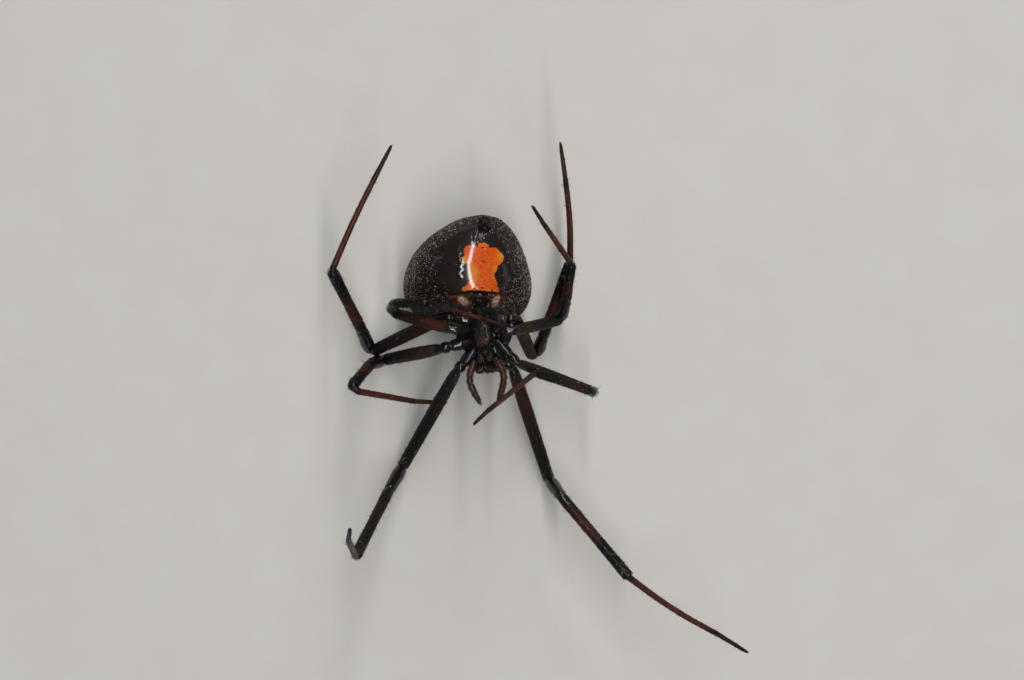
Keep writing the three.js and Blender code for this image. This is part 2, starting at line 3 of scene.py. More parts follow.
import bpy
import numpy as np
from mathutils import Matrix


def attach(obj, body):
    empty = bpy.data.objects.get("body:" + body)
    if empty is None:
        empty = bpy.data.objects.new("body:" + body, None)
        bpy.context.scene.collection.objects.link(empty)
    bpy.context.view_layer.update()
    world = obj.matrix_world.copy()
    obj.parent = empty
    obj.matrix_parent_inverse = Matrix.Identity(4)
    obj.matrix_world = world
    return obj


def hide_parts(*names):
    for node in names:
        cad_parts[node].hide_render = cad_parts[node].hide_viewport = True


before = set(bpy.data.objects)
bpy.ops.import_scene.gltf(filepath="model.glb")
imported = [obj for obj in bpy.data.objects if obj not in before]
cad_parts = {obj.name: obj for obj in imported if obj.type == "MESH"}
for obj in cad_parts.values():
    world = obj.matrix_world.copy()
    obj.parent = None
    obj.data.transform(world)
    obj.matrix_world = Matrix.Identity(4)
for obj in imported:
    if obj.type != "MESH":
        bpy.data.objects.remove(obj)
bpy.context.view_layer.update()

# A life-size female black widow that lies belly up. Lengths are millimetres of the solids' own
# modelling frame, and place() turns them to metres about the middle of the plan.
MM = 0.001
PLAN_CENTRE = np.array([-0.158, 0.098, 0.0])

# Body
PROSOMA_CENTRE = np.array([-3.16, 3.71, 5.15])
PROSOMA_HEADING = -83
BODY_ROLL = 10
CARAPACE_LENGTH = 3.7
CARAPACE_REAR = -1.5
CARAPACE_MARGIN = -0.05
STERNUM_LENGTH = 1.8
STERNUM_WIDTH = 1.3
STERNUM_TOP = 0.78
EYE_RADIUS = 0.12
CHELICERA_LENGTH = 1.15
ABDOMEN_LENGTH = 6.74
ABDOMEN_REAR_Y = 10.63
ABDOMEN_MIDDLE_X = -4.12
ABDOMEN_REAR_LEAN = 0.85
SPINNERET_PLACE = np.array([-3.13, 9.98, 6.05])
SPINNERET_AIM = np.array([0.0, 0.55, 0.84])
EPIGYNUM_PLACE = np.array([-3.42, 5.75, 6.46])
EPIGYNUM_SLOPE = 1.1
WAIST_END = np.array([-3.5, 5.3, 5.55])

# Fineness: rings and points round each, sides of a leg and of a palp, hairs before thinning
ABDOMEN_GRID = (210, 300)
CARAPACE_GRID = (110, 160)
LEG_SIDES = 36
PALP_SIDES = 28
HAIRS_OF_ABDOMEN_HALF = 22000

# Along the abdomen, rear to front: share of its length, half width, belly height, back height
ABDOMEN_STATIONS = np.array([
    [0.0, 0.0, 4.3, 4.3],
    [0.03, 0.98, 5.15, 3.45],
    [0.1, 1.8, 5.95, 2.5],
    [0.2, 2.55, 6.5, 1.5],
    [0.32, 3.12, 6.88, 0.65],
    [0.45, 3.5, 7.08, 0.12],
    [0.58, 3.7, 7.08, -0.14],
    [0.68, 3.68, 6.8, -0.23],
    [0.75, 3.55, 6.15, -0.23],
    [0.81, 3.35, 4.8, -0.1],
    [0.86, 3.05, 3.55, 0.25],
    [0.91, 2.62, 2.8, 0.7],
    [0.97, 1.6, 2.3, 1.2],
    [1.0, 0.0, 1.75, 1.75],
])

# Along the carapace, rear to front: share of its length, half width, depth of its domed back
CARAPACE_STATIONS = np.array([
    [0.0, 0.3, 0.25],
    [0.05, 0.8, 0.62],
    [0.2, 1.42, 1.12],
    [0.4, 1.65, 1.3],
    [0.55, 1.5, 1.28],
    [0.7, 1.05, 1.38],
    [0.85, 0.88, 1.5],
    [0.95, 0.76, 1.3],
    [1.0, 0.5, 0.85],
])

# Eyes: sideways place, place below the margin of the carapace, share of the full radius
EYES = np.array([
    [0.15, -0.52, 1.0],
    [0.45, -0.5, 0.85],
    [0.19, -0.92, 0.95],
    [0.55, -0.86, 0.85],
])

# Outline of the hourglass mark about its middle, a closed curve through these points
HOURGLASS_MIDDLE = np.array([-3.24, 7.6])
HOURGLASS_OUTLINE = np.array([
    [-1.19, -1.39], [-0.81, -0.99], [-0.72, -0.72], [-0.79, -0.23], [-0.79, -0.03],
    [-0.88, 0.12], [-1.04, 0.2], [-1.17, 0.43], [-1.0, 0.6], [-1.04, 0.74],
    [-1.03, 0.97], [-0.9, 1.15], [-0.59, 1.18], [-0.29, 1.13], [-0.23, 1.25],
    [-0.06, 1.34], [0.16, 1.34], [0.34, 1.21], [0.37, 1.05], [0.64, 1.09],
    [0.9, 0.98], [1.02, 0.77], [1.2, 0.62], [1.21, 0.4], [1.08, 0.16],
    [0.91, 0.02], [0.84, -0.2], [0.68, -0.5], [0.76, -0.77], [0.86, -1.17],
    [0.96, -1.48], [0.5, -1.45], [-0.41, -1.38],
])

# Legs: lengths of the segments of each pair, hip to tip
LEG_LENGTHS = {
    "1": (7.9, 2.1, 6.2, 7.4, 2.2),
    "2": (5.6, 1.9, 3.7, 5.1, 1.9),
    "3": (4.8, 1.6, 2.6, 4.0, 1.6),
    "4": (6.1, 2.1, 5.0, 6.4, 2.0),
}
COXA_ROOTS = {"1": (0.8, 0.48), "2": (0.3, 0.64), "3": (-0.32, 0.64), "4": (-0.84, 0.48)}
COXA_ROOT_HEIGHT = 0.52
KNEE_BEND_RADIUS = 0.32

# Girth of the slim and the stout legs: share of the full radii from coxa to tibia, and in the foot
LEG_GIRTHS = {
    "left_leg_3": (0.9, 0.6),
    "left_leg_4": (1.05, 1.0),
    "right_leg_2": (0.85, 0.9),
    "right_leg_3": (0.9, 0.92),
}

# Share of the usual red-brown on the legs that differ: on the femur, the tibia and the foot
LEG_TINTS = {
    "left_leg_1": (0.6, 0.6, 0.6),
    "left_leg_3": (1.6, 0.1, 1.3),
    "right_leg_2": (0.8, 0.8, 0.8),
}

# How far the middle of a bent metatarsus stands off to the left of its straight line, mm
METATARSUS_BOWS = {"left_leg_4": 0.08, "right_leg_1": -0.16, "right_leg_4": -0.11}

# Pose of each leg: hip place, then heading in the ground plane and slope of each segment, degrees
LEG_POSES = {
    "left_leg_1": ((-4.71, 1.58, 5.5), (-120, -34), (-119, 44), (-116, 50), (95, 80), (76, 70)),
    "left_leg_2": ((-5.68, 2.85, 5.75), (-169, -52), (-162, 67), (-128, 60), (-11, -42), (-2, 17)),
    "left_leg_3": ((-4.92, 3.94, 6.8), (164, -37), (58, 70), (2, 41), (-17, 29), (-17, 31)),
    "left_leg_4": ((-5.46, 4.69, 5.45), (-155, -38), (110, 49), (115, 42), (65, 2), (65, -39)),
    "right_leg_1": ((-1.5, 1.75, 4.9), (-72, -29), (-53, 58), (-50, 4), (-31, 39), (-30, 35)),
    "right_leg_2": ((-1.19, 2.04, 5.9), (-21, -32), (162, 85), (161, 22), (-142, 46), (-137, 59)),
    "right_leg_3": ((-1.65, 3.85, 6.95), (13, -51), (74, 43), (83, 36), (126, 47), (124, 44)),
    "right_leg_4": ((-1.31, 4.63, 5.9), (-67, -63), (71, 45), (70, 23), (94, 42), (98, 3)),
}

# Leg skin: segment number (0 is the coxa), share of the way, offset in mm, radius in mm
LEG_RADII = (
    (0, 0.0, 0.0, 0.2), (0, 0.1, 0.0, 0.3), (0, 0.35, 0.0, 0.37), (0, 0.55, 0.0, 0.34),
    (0, 0.62, 0.0, 0.33), (0, 0.67, 0.0, 0.25), (0, 0.71, 0.0, 0.26), (0, 0.77, 0.0, 0.33),
    (0, 0.88, 0.0, 0.335), (0, 0.98, 0.0, 0.25), (1, 0.0, 0.06, 0.245), (1, 0.0, 0.18, 0.31),
    (1, 0.0, 0.7, 0.345), (1, 0.35, 0.0, 0.385), (1, 0.72, 0.0, 0.365), (1, 1.0, -0.4, 0.345),
    (1, 1.0, -0.1, 0.355), (2, 0.0, 0.0, 0.28), (2, 0.0, 0.12, 0.35), (2, 0.35, 0.0, 0.4),
    (2, 0.7, 0.0, 0.36), (2, 1.0, -0.25, 0.345), (2, 1.0, -0.07, 0.345), (3, 0.0, 0.0, 0.265),
    (3, 0.0, 0.1, 0.32), (3, 0.12, 0.0, 0.315), (3, 0.45, 0.0, 0.295), (3, 1.0, -0.7, 0.33),
    (3, 1.0, -0.12, 0.33), (4, 0.0, 0.0, 0.18), (4, 0.0, 0.12, 0.2), (4, 0.0, 0.5, 0.19),
    (4, 0.5, 0.0, 0.172), (4, 1.0, -0.2, 0.155), (4, 1.0, -0.05, 0.155), (5, 0.0, 0.0, 0.12),
    (5, 0.0, 0.08, 0.14), (5, 0.5, 0.0, 0.125), (5, 1.0, -0.2, 0.1), (5, 1.0, 0.0, 0.065),
)

# Share of red-brown along a leg: segment number, share of the way, amount from black 0 to brown 1
LEG_BROWNS = (
    (0, 0.0, 0.05), (0, 0.9, 0.08), (1, 0.02, 0.15), (1, 0.1, 0.42), (1, 0.3, 0.48), (1, 0.5, 0.34),
    (1, 0.75, 0.25), (1, 0.9, 0.1), (1, 1.0, 0.02), (2, 0.5, 0.02), (2, 1.0, 0.02), (3, 0.06, 0.1),
    (3, 0.2, 0.6), (3, 0.45, 0.65), (3, 0.62, 0.25), (3, 0.75, 0.05), (3, 1.0, 0.02), (4, 0.02, 0.2),
    (4, 0.09, 0.75), (4, 0.5, 0.95), (4, 0.88, 0.8), (4, 0.97, 0.3), (5, 0.02, 0.2), (5, 0.1, 0.6),
    (5, 0.55, 0.5), (5, 0.85, 0.25), (5, 1.0, 0.08),
)

# Shine along a leg: segment number, share of the way, amount from satin 0 to polish 1
LEG_SHINES = (
    (0, 0.0, 0.55), (0, 1.0, 0.6), (1, 0.06, 0.5), (1, 0.12, 0.1), (1, 0.5, 0.0), (1, 0.93, 0.05),
    (2, 0.0, 0.6), (2, 0.1, 0.85), (2, 1.0, 0.75), (3, 0.06, 0.5), (3, 0.15, 0.08), (3, 0.6, 0.05),
    (3, 1.0, 0.12), (4, 0.0, 0.3), (4, 0.1, 0.2), (4, 1.0, 0.2), (5, 1.0, 0.1),
)

# Hair of each segment, coxa to tarsus: hairs per mm of leg, length in mm, share of pale ones, which stand
# partly for painted glints of the hairs
LEG_HAIRS = (
    (130, 0.14, 0.25), (160, 0.15, 0.07), (70, 0.17, 0.05), (230, 0.19, 0.08), (150, 0.14, 0.12),
    (150, 0.12, 0.08),
)

# How far under the skin a hair starts, in mm, and the small patch of the unwrap that its points take up
HAIR_SUNK = 0.03
HAIR_PATCH = 0.0014 * np.array([
    [1, 0], [-0.5, 0.87], [-0.5, -0.87], [0.6, 0], [-0.3, 0.5], [-0.3, -0.5], [0, 0],
])

# Camera and picture: width in pixels, size of a pixel in mm on the plane of that height, camera, sensor
PHOTO_WIDTH = 1024
PIXEL_SIZE = 0.058
FRAME_PLANE = 4.0
CAMERA_PLACE = np.array([-1.537, 3.364, 224.0])
SENSOR_WIDTH = 36.0

# Softboxes: place in metres, turn about X, Y and Z in degrees, width and length in metres, watts
LIGHTS = (
    ("strip", (0.036, 0.06, 0.3), (-6, 7, 0), (0.024, 0.66), 1.15),
    ("rear_softbox", (0.08, 0.42, 0.15), (-72, 0, -11), (0.1, 0.12), 0.35),
    ("left_softbox", (-0.42, 0.1, 0.12), (0, -74, 0), (0.08, 0.4), 0.11),
    ("right_softbox", (0.42, 0.0, 0.12), (0, 74, 0), (0.08, 0.4), 0.06),
    ("front_softbox", (0.0, -0.42, 0.12), (74, 0, 0), (0.4, 0.08), 0.09),
)

# Sides of the body with their names, and the direction across it
SIDES = ((-1, "left"), (1, "right"))
ACROSS_BODY = np.array([1.0, 0.0, 0.0])

random = np.random.default_rng(2699)


def place(points):
    """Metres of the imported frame: the points in mm less the middle of the plan, times a thousandth."""
    return (np.asarray(points, dtype=float) - PLAN_CENTRE) * MM


def unit(vectors):
    """Each vector over its own length."""
    return vectors / np.linalg.norm(vectors, axis=-1, keepdims=True)


def direction(heading, slope):
    """Unit vector: heading turns from +X to +Y in the ground plane, slope lifts it toward +Z, in degrees."""
    turned, lifted = math.radians(heading), math.radians(slope)
    return np.array([
        math.cos(lifted) * math.cos(turned),
        math.cos(lifted) * math.sin(turned),
        math.sin(lifted),
    ])


def smooth(low, high, values):
    """Cubic step 3t squared less 2t cubed, t being the value's share of the way from low to high."""
    share = np.clip((values - low) / (high - low), 0, 1)
    return share * share * (3 - 2 * share)


def bell(distance, width):
    """Gaussian of distance over width: 1 in the middle, 0.37 at one width."""
    return np.exp(-((distance / width) ** 2))


def full_turn(count):
    """Angles evenly spaced over a full turn, the first of them zero."""
    return np.linspace(0, 2 * np.pi, count, endpoint=False)


def together(*columns):
    """Places whose first, second and last numbers are the columns, each drawn out to the widest shape."""
    return np.stack(np.broadcast_arrays(*columns), axis=-1)


def ball(rows, columns, margin):
    """Unit ball in rings, from the margin off one pole to as far off the other: sine of the polar angle times
    cosine and sine of the turn, and its cosine."""
    polar = np.linspace(margin, np.pi - margin, rows)[:, None]
    around = full_turn(columns)[None, :]
    return together(np.sin(polar) * np.cos(around), np.sin(polar) * np.sin(around), np.cos(polar))


def stations(rows, share):
    """Each column's Hermite curve through the rows, whose first column is the share of the length that they
    stand at. Its slope at a row is that of the chord from the row before to the row after."""
    places, values = rows[:, 0], rows[:, 1:].T
    before, after = np.arange(-1, len(rows) - 1).clip(0), np.arange(1, len(rows) + 1).clip(0, len(rows) - 1)
    slopes = (values[:, after] - values[:, before]) / (places[after] - places[before])
    row = np.clip(np.searchsorted(places, share, side="right") - 1, 0, len(rows) - 2)
    span = places[row + 1] - places[row]
    t = (share - places[row]) / span
    return (
        (1 + 2 * t) * (1 - t) ** 2 * values[:, row]
        + t * (1 - t) ** 2 * span * slopes[:, row]
        + t * t * (3 - 2 * t) * values[:, row + 1]
        + t * t * (t - 1) * span * slopes[:, row + 1]
    )


FORWARD = direction(PROSOMA_HEADING, 0)
SIDEWAYS = np.cross((0, 0, 1), FORWARD)
BELLY = (
    math.cos(math.radians(BODY_ROLL)) * np.array([0.0, 0.0, 1.0])
    - math.sin(math.radians(BODY_ROLL)) * SIDEWAYS
)
RIGHT = np.cross(BELLY, FORWARD)


def on_prosoma(forward, right, belly):
    """Point at forward, right and belly along the three axes of the prosoma from its middle."""
    forward, right, belly = (np.asarray(offset)[..., None] for offset in (forward, right, belly))
    return PROSOMA_CENTRE + forward * FORWARD + right * RIGHT + belly * BELLY


# Meshes

def closed_skin(rings, first_tip, last_tip):
    """Points, quads and triangles of a skin: each ring joined to the next, a fan to a tip at both ends.
    Faces are turned outward by the sign of the volume."""
    columns = rings.shape[1]
    points = np.vstack([rings.reshape(-1, 3), first_tip, last_tip])
    grid = np.arange(rings.size // 3).reshape(-1, columns)
    beside = np.roll(grid, -1, axis=1)
    quads = np.stack([grid[:-1], beside[:-1], beside[1:], grid[1:]], axis=-1).reshape(-1, 4)
    first, last = np.full(columns, grid.size), np.full(columns, grid.size + 1)
    fans = np.stack([[beside[0], grid[0], first], [grid[-1], beside[-1], last]])
    triangles = fans.transpose(0, 2, 1).reshape(-1, 3)
    halves = np.vstack([quads[:, [0, 1, 2]], quads[:, [0, 2, 3]], triangles])
    a, b, c = (points[halves[:, k]] - points.mean(axis=0) for k in range(3))
    if np.einsum("ij,ij->", a, np.cross(b, c)) < 0:
        quads, triangles = quads[:, ::-1], triangles[:, ::-1]
    return points, quads, triangles


def joined(parts):
    """One set of points, quads and triangles from several, each part's faces counted on from the last's."""
    starts = np.cumsum([0] + [len(part[0]) for part in parts])
    return (
        np.vstack([part[0] for part in parts]),
        np.vstack([part[1] + start for part, start in zip(parts, starts)]),
        np.vstack([part[2] + start for part, start in zip(parts, starts)]),
    )


def add_object(name, data):
    """New object of the scene, at the origin, that holds a mesh, a camera or a light."""
    made = bpy.data.objects.new(name, data)
    bpy.context.scene.collection.objects.link(made)
    return made


def piece(name, shape, material, nodes=(), values=None, unwrap=None):
    """Mesh object at the origin that rides on the root, with its unwrap and its point values, each of them
    one number or a number for every point."""
    points, quads, triangles = shape
    corners = np.concatenate([quads.ravel(), triangles.ravel()]).astype(np.int32)
    sizes = np.concatenate([np.full(len(quads), 4), np.full(len(triangles), 3)])
    mesh = bpy.data.meshes.new(name)
    mesh.vertices.add(len(points))
    mesh.vertices.foreach_set("co", place(points).ravel())
    mesh.loops.add(len(corners))
    mesh.loops.foreach_set("vertex_index", corners)
    mesh.polygons.add(len(sizes))
    mesh.polygons.foreach_set("loop_start", (np.cumsum(sizes) - sizes).astype(np.int32))
    mesh.update(calc_edges=True)
    mesh.polygons.foreach_set("use_smooth", np.ones(len(sizes), dtype=bool))
    for label, numbers in (values or {}).items():
        numbers = np.full(len(points), numbers, dtype=float)
        mesh.attributes.new(label, "FLOAT", "POINT").data.foreach_set("value", numbers)
    if unwrap is not None:
        mesh.uv_layers.new(name="OFBake").data.foreach_set("uv", unwrap[corners].ravel())
    mesh.validate()
    mesh.materials.append(material)
    made = add_object(name, mesh)
    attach(made, "root")
    if nodes:
        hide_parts(*nodes)


def frames(path, keep=None):
    """Tangents along a path and two directions across it: the one to keep, or the normal of the plane that
    fits the path best, made square to the tangent, and the tangent's cross product with it."""
    tangents = unit(np.gradient(path, axis=0))
    if keep is None:
        keep = np.linalg.svd(path - path.mean(axis=0), full_matrices=False)[2][2]
    across = unit(keep - (tangents @ keep)[:, None] * tangents)
    return tangents, across, np.cross(tangents, across)


def tube(path, radii, sides, keep=None, flatten=1.0):
    """Closed tube: at each point of the path a ring, centre plus radius times cosine across and flattened
    sine up, and at each end a cap a third of the end's radius high."""
    _, across, up = frames(path, keep)
    around = full_turn(sides)[None, :, None]
    spread = np.cos(around) * across[:, None, :] + flatten * np.sin(around) * up[:, None, :]
    ends = unit(path[[0, -1]] - path[[1, -2]])
    tips = path[[0, -1]] + ends * radii[[0, -1], None] / 3
    return closed_skin(path[:, None, :] + radii[:, None, None] * spread, *tips)


def on_rings(row, sides):
    """Value at every point of a tube from one value for each ring. A tip has the value of the ring by it."""
    return np.concatenate([np.repeat(row, sides), row[[0, -1]]])


def bent_path(joints, bend, spacing):
    """Straight runs from joint to joint, each corner a circular arc of the bend radius that touches both
    runs, drawn smaller where a run is short, then spaced evenly. Also how far along it each point and each
    joint lies."""
    steps = np.diff(joints, axis=0)
    lengths = np.linalg.norm(steps, axis=1)
    along = steps / lengths[:, None]
    turn = np.zeros(len(joints))
    turn[1:-1] = np.arccos(np.clip(np.sum(along[:-1] * along[1:], axis=1), -1, 1))
    reach = bend * np.tan(turn / 2)
    for k, length in enumerate(lengths):
        room = 0.96 * length / max(1e-9, reach[k] + reach[k + 1])
        reach[k : k + 2] *= min(1.0, room)
    share = np.linspace(0, 1, 25)[:, None]
    runs = [joints[:1]]
    middles = []
    count = 1
    for k in range(1, len(joints) - 1):
        into, out = along[k - 1], along[k]
        toward = unit(out - (out @ into) * into)
        radius = reach[k] / math.tan(turn[k] / 2)
        angle = turn[k] * share
        runs.append(
            joints[k] + into * (radius * np.sin(angle) - reach[k]) + toward * radius * (1 - np.cos(angle))
        )
        middles.append(count + len(share) // 2)
        count += len(share)
    runs.append(joints[-1:])
    line = np.vstack(runs)
    travelled = np.concatenate([[0], np.cumsum(np.linalg.norm(np.diff(line, axis=0), axis=1))])
    marks = np.concatenate([[0], travelled[middles], travelled[-1:]])
    even = np.linspace(0, travelled[-1], int(travelled[-1] / spacing))
    return together(*(np.interp(even, travelled, column) for column in line.T)), even, marks


def coat(name, material, roots, outward, along, lengths, widths, lift, bend, pale, unwrap):
    """Piece of tapered hairs, each of three sides, two levels and a tip, that starts a little under the skin.
    A hair leaves at the lift angle from the skin toward along, and bends back to the skin by bend times its
    length at the tip. Its tone is below 0.5 for a dark one, and from 0.64 to 1 for a pale one; the pale ones
    stand partly for painted glints of the hairs. Hairs about 0.01 mm thick wouldn't show, so the widths that
    come in are one to four times that."""
    count = len(roots)
    outward = np.broadcast_to(outward, roots.shape)
    aim = np.cos(lift)[:, None] * along + np.sin(lift)[:, None] * outward
    side = unit(np.cross(aim, outward))
    square = np.cross(side, aim)
    levels = np.array([0.0, 0.5, 1.0])[None, :, None]
    line = (
        roots[:, None, :]
        - HAIR_SUNK * outward[:, None, :]
        + lengths[:, None, None] * levels * aim[:, None, :]
        - (bend * lengths)[:, None, None] * levels**2 * outward[:, None, :]
    )
    around = np.array([0.0, 2.0, 4.0])[None, :, None] * np.pi / 3
    ring = np.cos(around) * side[:, None, :] + np.sin(around) * square[:, None, :]
    radii = np.broadcast_to(widths, count)[:, None] * np.array([[0.5, 0.38]])
    body = line[:, :2, None, :] + radii[:, :, None, None] * ring[:, None]
    points = np.concatenate([body.reshape(count, 6, 3), line[:, 2:]], axis=1)
    starts = 7 * np.arange(count)[:, None, None]
    quads = (starts + np.array([[0, 1, 4, 3], [1, 2, 5, 4], [2, 0, 3, 5]])).reshape(-1, 4)
    triangles = (starts + np.array([[3, 4, 6], [4, 5, 6], [5, 3, 6], [2, 1, 0]])).reshape(-1, 3)
    places = (unwrap[:, None, :] + HAIR_PATCH).reshape(-1, 2)
    # Pale tones stand partly for painted glints of the hairs.
    pales = random.random(count) < pale
    tone = np.where(pales, random.uniform(0.64, 1, count), random.uniform(0, 0.5, count))
    shape = points.reshape(-1, 3), quads, triangles
    piece(name, shape, material, (), {"tone": np.repeat(tone, 7)}, places)


def bristles(name, material, roots, outward, along, unwrap, length, width, lift, bend=0.15):
    """Coat of hairs whose length in mm and lift in degrees are even draws between two ends, three in ten of
    them pale. Without an unwrap, each hair's patch has a place at random."""
    count = len(roots)
    lengths = random.uniform(*length, count)
    lifts = np.radians(random.uniform(*lift, count))
    if unwrap is None:
        unwrap = random.random((count, 2)) * 0.9 + 0.05
    coat(name, material, roots, outward, along, lengths, width, lifts, bend, 0.3, unwrap)


# Materials

def colour(code):
    """Linear colour from an sRGB hex code: below 0.04045 over 12.92, above it the 2.4 power."""
    parts = [int(code[k : k + 2], 16) / 255 for k in (1, 3, 5)]
    return [c / 12.92 if c <= 0.04045 else ((c + 0.055) / 1.055) ** 2.4 for c in parts] + [1.0]


def node(tree, kind, inputs=None, output=0, **settings):
    """Adds one node and gives its output: inputs are its sockets, each a value or another node's output,
    and settings its properties."""
    made = tree.nodes.new("ShaderNode" + kind)
    for name, value in settings.items():
        setattr(made, name, value)
    for name, value in (inputs or {}).items():
        if isinstance(value, bpy.types.NodeSocket):
            tree.links.new(value, made.inputs[name])
        else:
            made.inputs[name].default_value = value
    return made.outputs[output]


def pattern(where, size, **others):
    """Sockets of a pattern on Object coordinates, in metres, whose features are size millimetres across."""
    return {"Vector": where, "Scale": 1 / (size * MM), **others}


def new_finish(name, sizes, labels=()):
    """Empty material. Gives the material, its tree, its Object coordinates, a noise for each size in mm, and
    each named value of the piece's points."""
    material = bpy.data.materials.new(name)
    material.use_nodes = True
    tree = material.node_tree
    where = node(tree, "TexCoord", output="Object")
    noises = [node(tree, "TexNoise", pattern(where, size, Detail=4.0)) for size in sizes]
    values = [node(tree, "Attribute", output="Fac", attribute_name=label) for label in labels]
    return material, tree, where, *noises, *values


def dress(material, sockets):
    """Sets the sockets of the material's shader, each a value or a node's output."""
    shader = material.node_tree.nodes["Principled BSDF"]
    for name, value in sockets.items():
        if isinstance(value, bpy.types.NodeSocket):
            material.node_tree.links.new(value, shader.inputs[name])
        else:
            shader.inputs[name].default_value = value
    return material


def shaded(tree, value, low, high, first, second):
    """Colour that turns from first to second while a value goes from low to high, each a hex code or
    another node's colour: a smooth step that drives a mix."""
    share = node(tree, "MapRange", {0: value, 1: low, 2: high}, interpolation_type="SMOOTHSTEP")
    ends = [colour(end) if isinstance(end, str) else end for end in (first, second)]
    return node(tree, "Mix", {0: share, 6: ends[0], 7: ends[1]}, 2, data_type="RGBA")


def relief(tree, layers):
    """Normal with small relief: each layer's height times its depth in millimetres, one over another."""
    normal = None
    for height, depth in layers:
        inputs = {"Height": height, "Distance": depth * MM}
        if normal is not None:
            inputs["Normal"] = normal
        normal = node(tree, "Bump", inputs, "Normal")
    return normal


def abdomen_cuticle():
    """Soft stretched cuticle of the round abdomen. It gives the eye satin black flanks, and a wet-looking
    belly whose fine creases break up the highlight. Pigment under it makes the orange mark: a net of small
    cells, yellower along the rim, with a ragged edge, and a painted highlight glow by the left rim of its
    waist. The covers of the book lungs are thin and pale."""
    # Grain and pigment cells are finer in life, about 0.01 and 0.05 mm, and wouldn't show, so they are
    # drawn at 0.06 and 0.14 mm. Wrinkles are 0.17 mm across, pores 0.4 mm apart and the mottling 0.5 mm.
    material, tree, where, fine, middling, broad, mark, yellow, pit, lung, fold, bald = new_finish(
        "abdomen_cuticle", (0.06, 0.17, 0.5), ("mark", "yellow", "pit", "lung", "fold", "bald")
    )
    black = shaded(tree, broad, 0.35, 0.7, "#130b08", "#1b110d")
    black = shaded(tree, fold, 0.1, 1.0, black, "#2e120a")
    pale = shaded(tree, middling, 0.3, 0.7, "#a87258", "#e6c7b2")
    pale = shaded(tree, lung, 0.35, 0.9, "#7c4330", pale)
    patchy = node(tree, "Math", {0: middling, 1: 1.2, 2: 0.42}, operation="MULTIPLY_ADD")
    cover = node(tree, "Math", {0: patchy, 1: lung}, operation="MULTIPLY")
    black = shaded(tree, cover, 0.08, 0.45, black, "#54281a")
    black = shaded(tree, cover, 0.4, 1.1, black, pale)
    cells = pattern(where, 0.14)
    net = node(tree, "TexVoronoi", cells, "Distance", feature="DISTANCE_TO_EDGE")
    cell = node(tree, "TexVoronoi", cells, "Color")
    orange = shaded(tree, cell, 0.1, 0.9, "#cb4802", "#dc5f05")
    orange = shaded(tree, net, 0.1, 0.0, orange, "#b03602")
    blotched = node(tree, "Math", {0: broad, 1: 1.6, 2: -0.8}, operation="MULTIPLY_ADD")
    # The yellow value holds the mark's yellow rim, and by the left rim of the waist a painted highlight glow.
    golden = node(tree, "Math", {0: blotched, 1: yellow}, operation="ADD")
    orange = shaded(tree, golden, 0.1, 1.0, orange, "#cc7a0c")
    pores = node(tree, "TexVoronoi", pattern(where, 0.4), "Distance")
    orange = shaded(tree, pores, 0.1, 0.03, orange, "#451404")
    orange = shaded(tree, pit, 0.2, 0.8, orange, "#2a0c03")
    ragged = node(tree, "Math", {0: middling, 1: 0.16, 2: mark}, operation="MULTIPLY_ADD")
    edge = node(tree, "Math", {0: fine, 1: 0.16, 2: ragged}, operation="MULTIPLY_ADD")
    return dress(material, {
        "Base Color": shaded(tree, edge, 0.14, 0.18, black, orange),
        "Roughness": node(tree, "MapRange", {0: bald, 3: 0.6, 4: 0.5}),
        "IOR": 1.54,
        "Specular IOR Level": 0.13,
        "Normal": relief(tree, ((broad, 0.04), (middling, 0.014), (fine, 0.004))),
        "Coat Weight": bald,
        "Coat Roughness": 0.135,
        "Coat IOR": 1.5,
    })


def body_cuticle():
    """Hard tanned cuticle of head and chest. It gives the eye a near-black with a pebbled grain that breaks
    up its low gloss, and an amber patch where it is thin enough for light to pass."""
    # The grain, about 0.01 mm in life, is drawn at 0.06 mm so that it shows. Pebbles are 0.15 mm across.
    material, tree, _, grain, patchy, cloud, amber = new_finish("body_cuticle", (0.06, 0.15, 0.5), ["amber"])
    tint = shaded(tree, cloud, 0.35, 0.7, "#090605", "#170e0a")
    thin = shaded(tree, patchy, 0.35, 0.7, "#4a220b", "#7f4a1a")
    return dress(material, {
        "Base Color": shaded(tree, amber, 0.1, 1.0, tint, thin),
        "Roughness": node(tree, "Math", {0: grain, 1: 0.3, 2: 0.4}, operation="MULTIPLY_ADD"),
        "IOR": 1.56,
        "Normal": relief(tree, ((patchy, 0.09), (grain, 0.01))),
        "Specular IOR Level": 0.18,
        "Coat Weight": 0.12,
        "Coat Roughness": 0.13,
    })


def leg_cuticle():
    """Hard, finely dimpled cuticle of the legs. It gives the eye black joints with polished knees, and
    satin red-brown in the thin middles, speckled by the dark sockets of the hairs."""
    # Grain and sockets, about 0.01 mm in life, are drawn at 0.06 and 0.09 mm so that they show. The dimples
    # are 0.16 mm across and the mottling 0.4 mm.
    material, tree, where, grain, dimples, cloud, band, shine = new_finish(
        "leg_cuticle", (0.06, 0.16, 0.4), ("brown", "shine")
    )
    shift = node(tree, "Math", {0: cloud, 1: 0.35, 2: -0.175}, operation="MULTIPLY_ADD")
    brown = node(tree, "Math", {0: band, 1: shift}, operation="ADD")
    tint = shaded(tree, brown, 0.0, 0.6, "#060404", "#170e0b")
    tint = shaded(tree, brown, 0.2, 1.15, tint, "#502413")
    sockets = node(tree, "TexVoronoi", pattern(where, 0.09), "Distance")
    tint = shaded(tree, sockets, 0.3, 0.05, tint, "#0a0706")
    return dress(material, {
        "Base Color": tint,
        "Roughness": node(tree, "MapRange", {0: shine, 3: 0.6, 4: 0.4}),
        "IOR": 1.55,
        "Specular IOR Level": 0.16,
        "Normal": relief(tree, ((cloud, 0.03), (dimples, 0.035), (grain, 0.005))),
        "Coat Weight": shine,
        "Coat Roughness": 0.12,
        "Coat IOR": 1.5,
    })


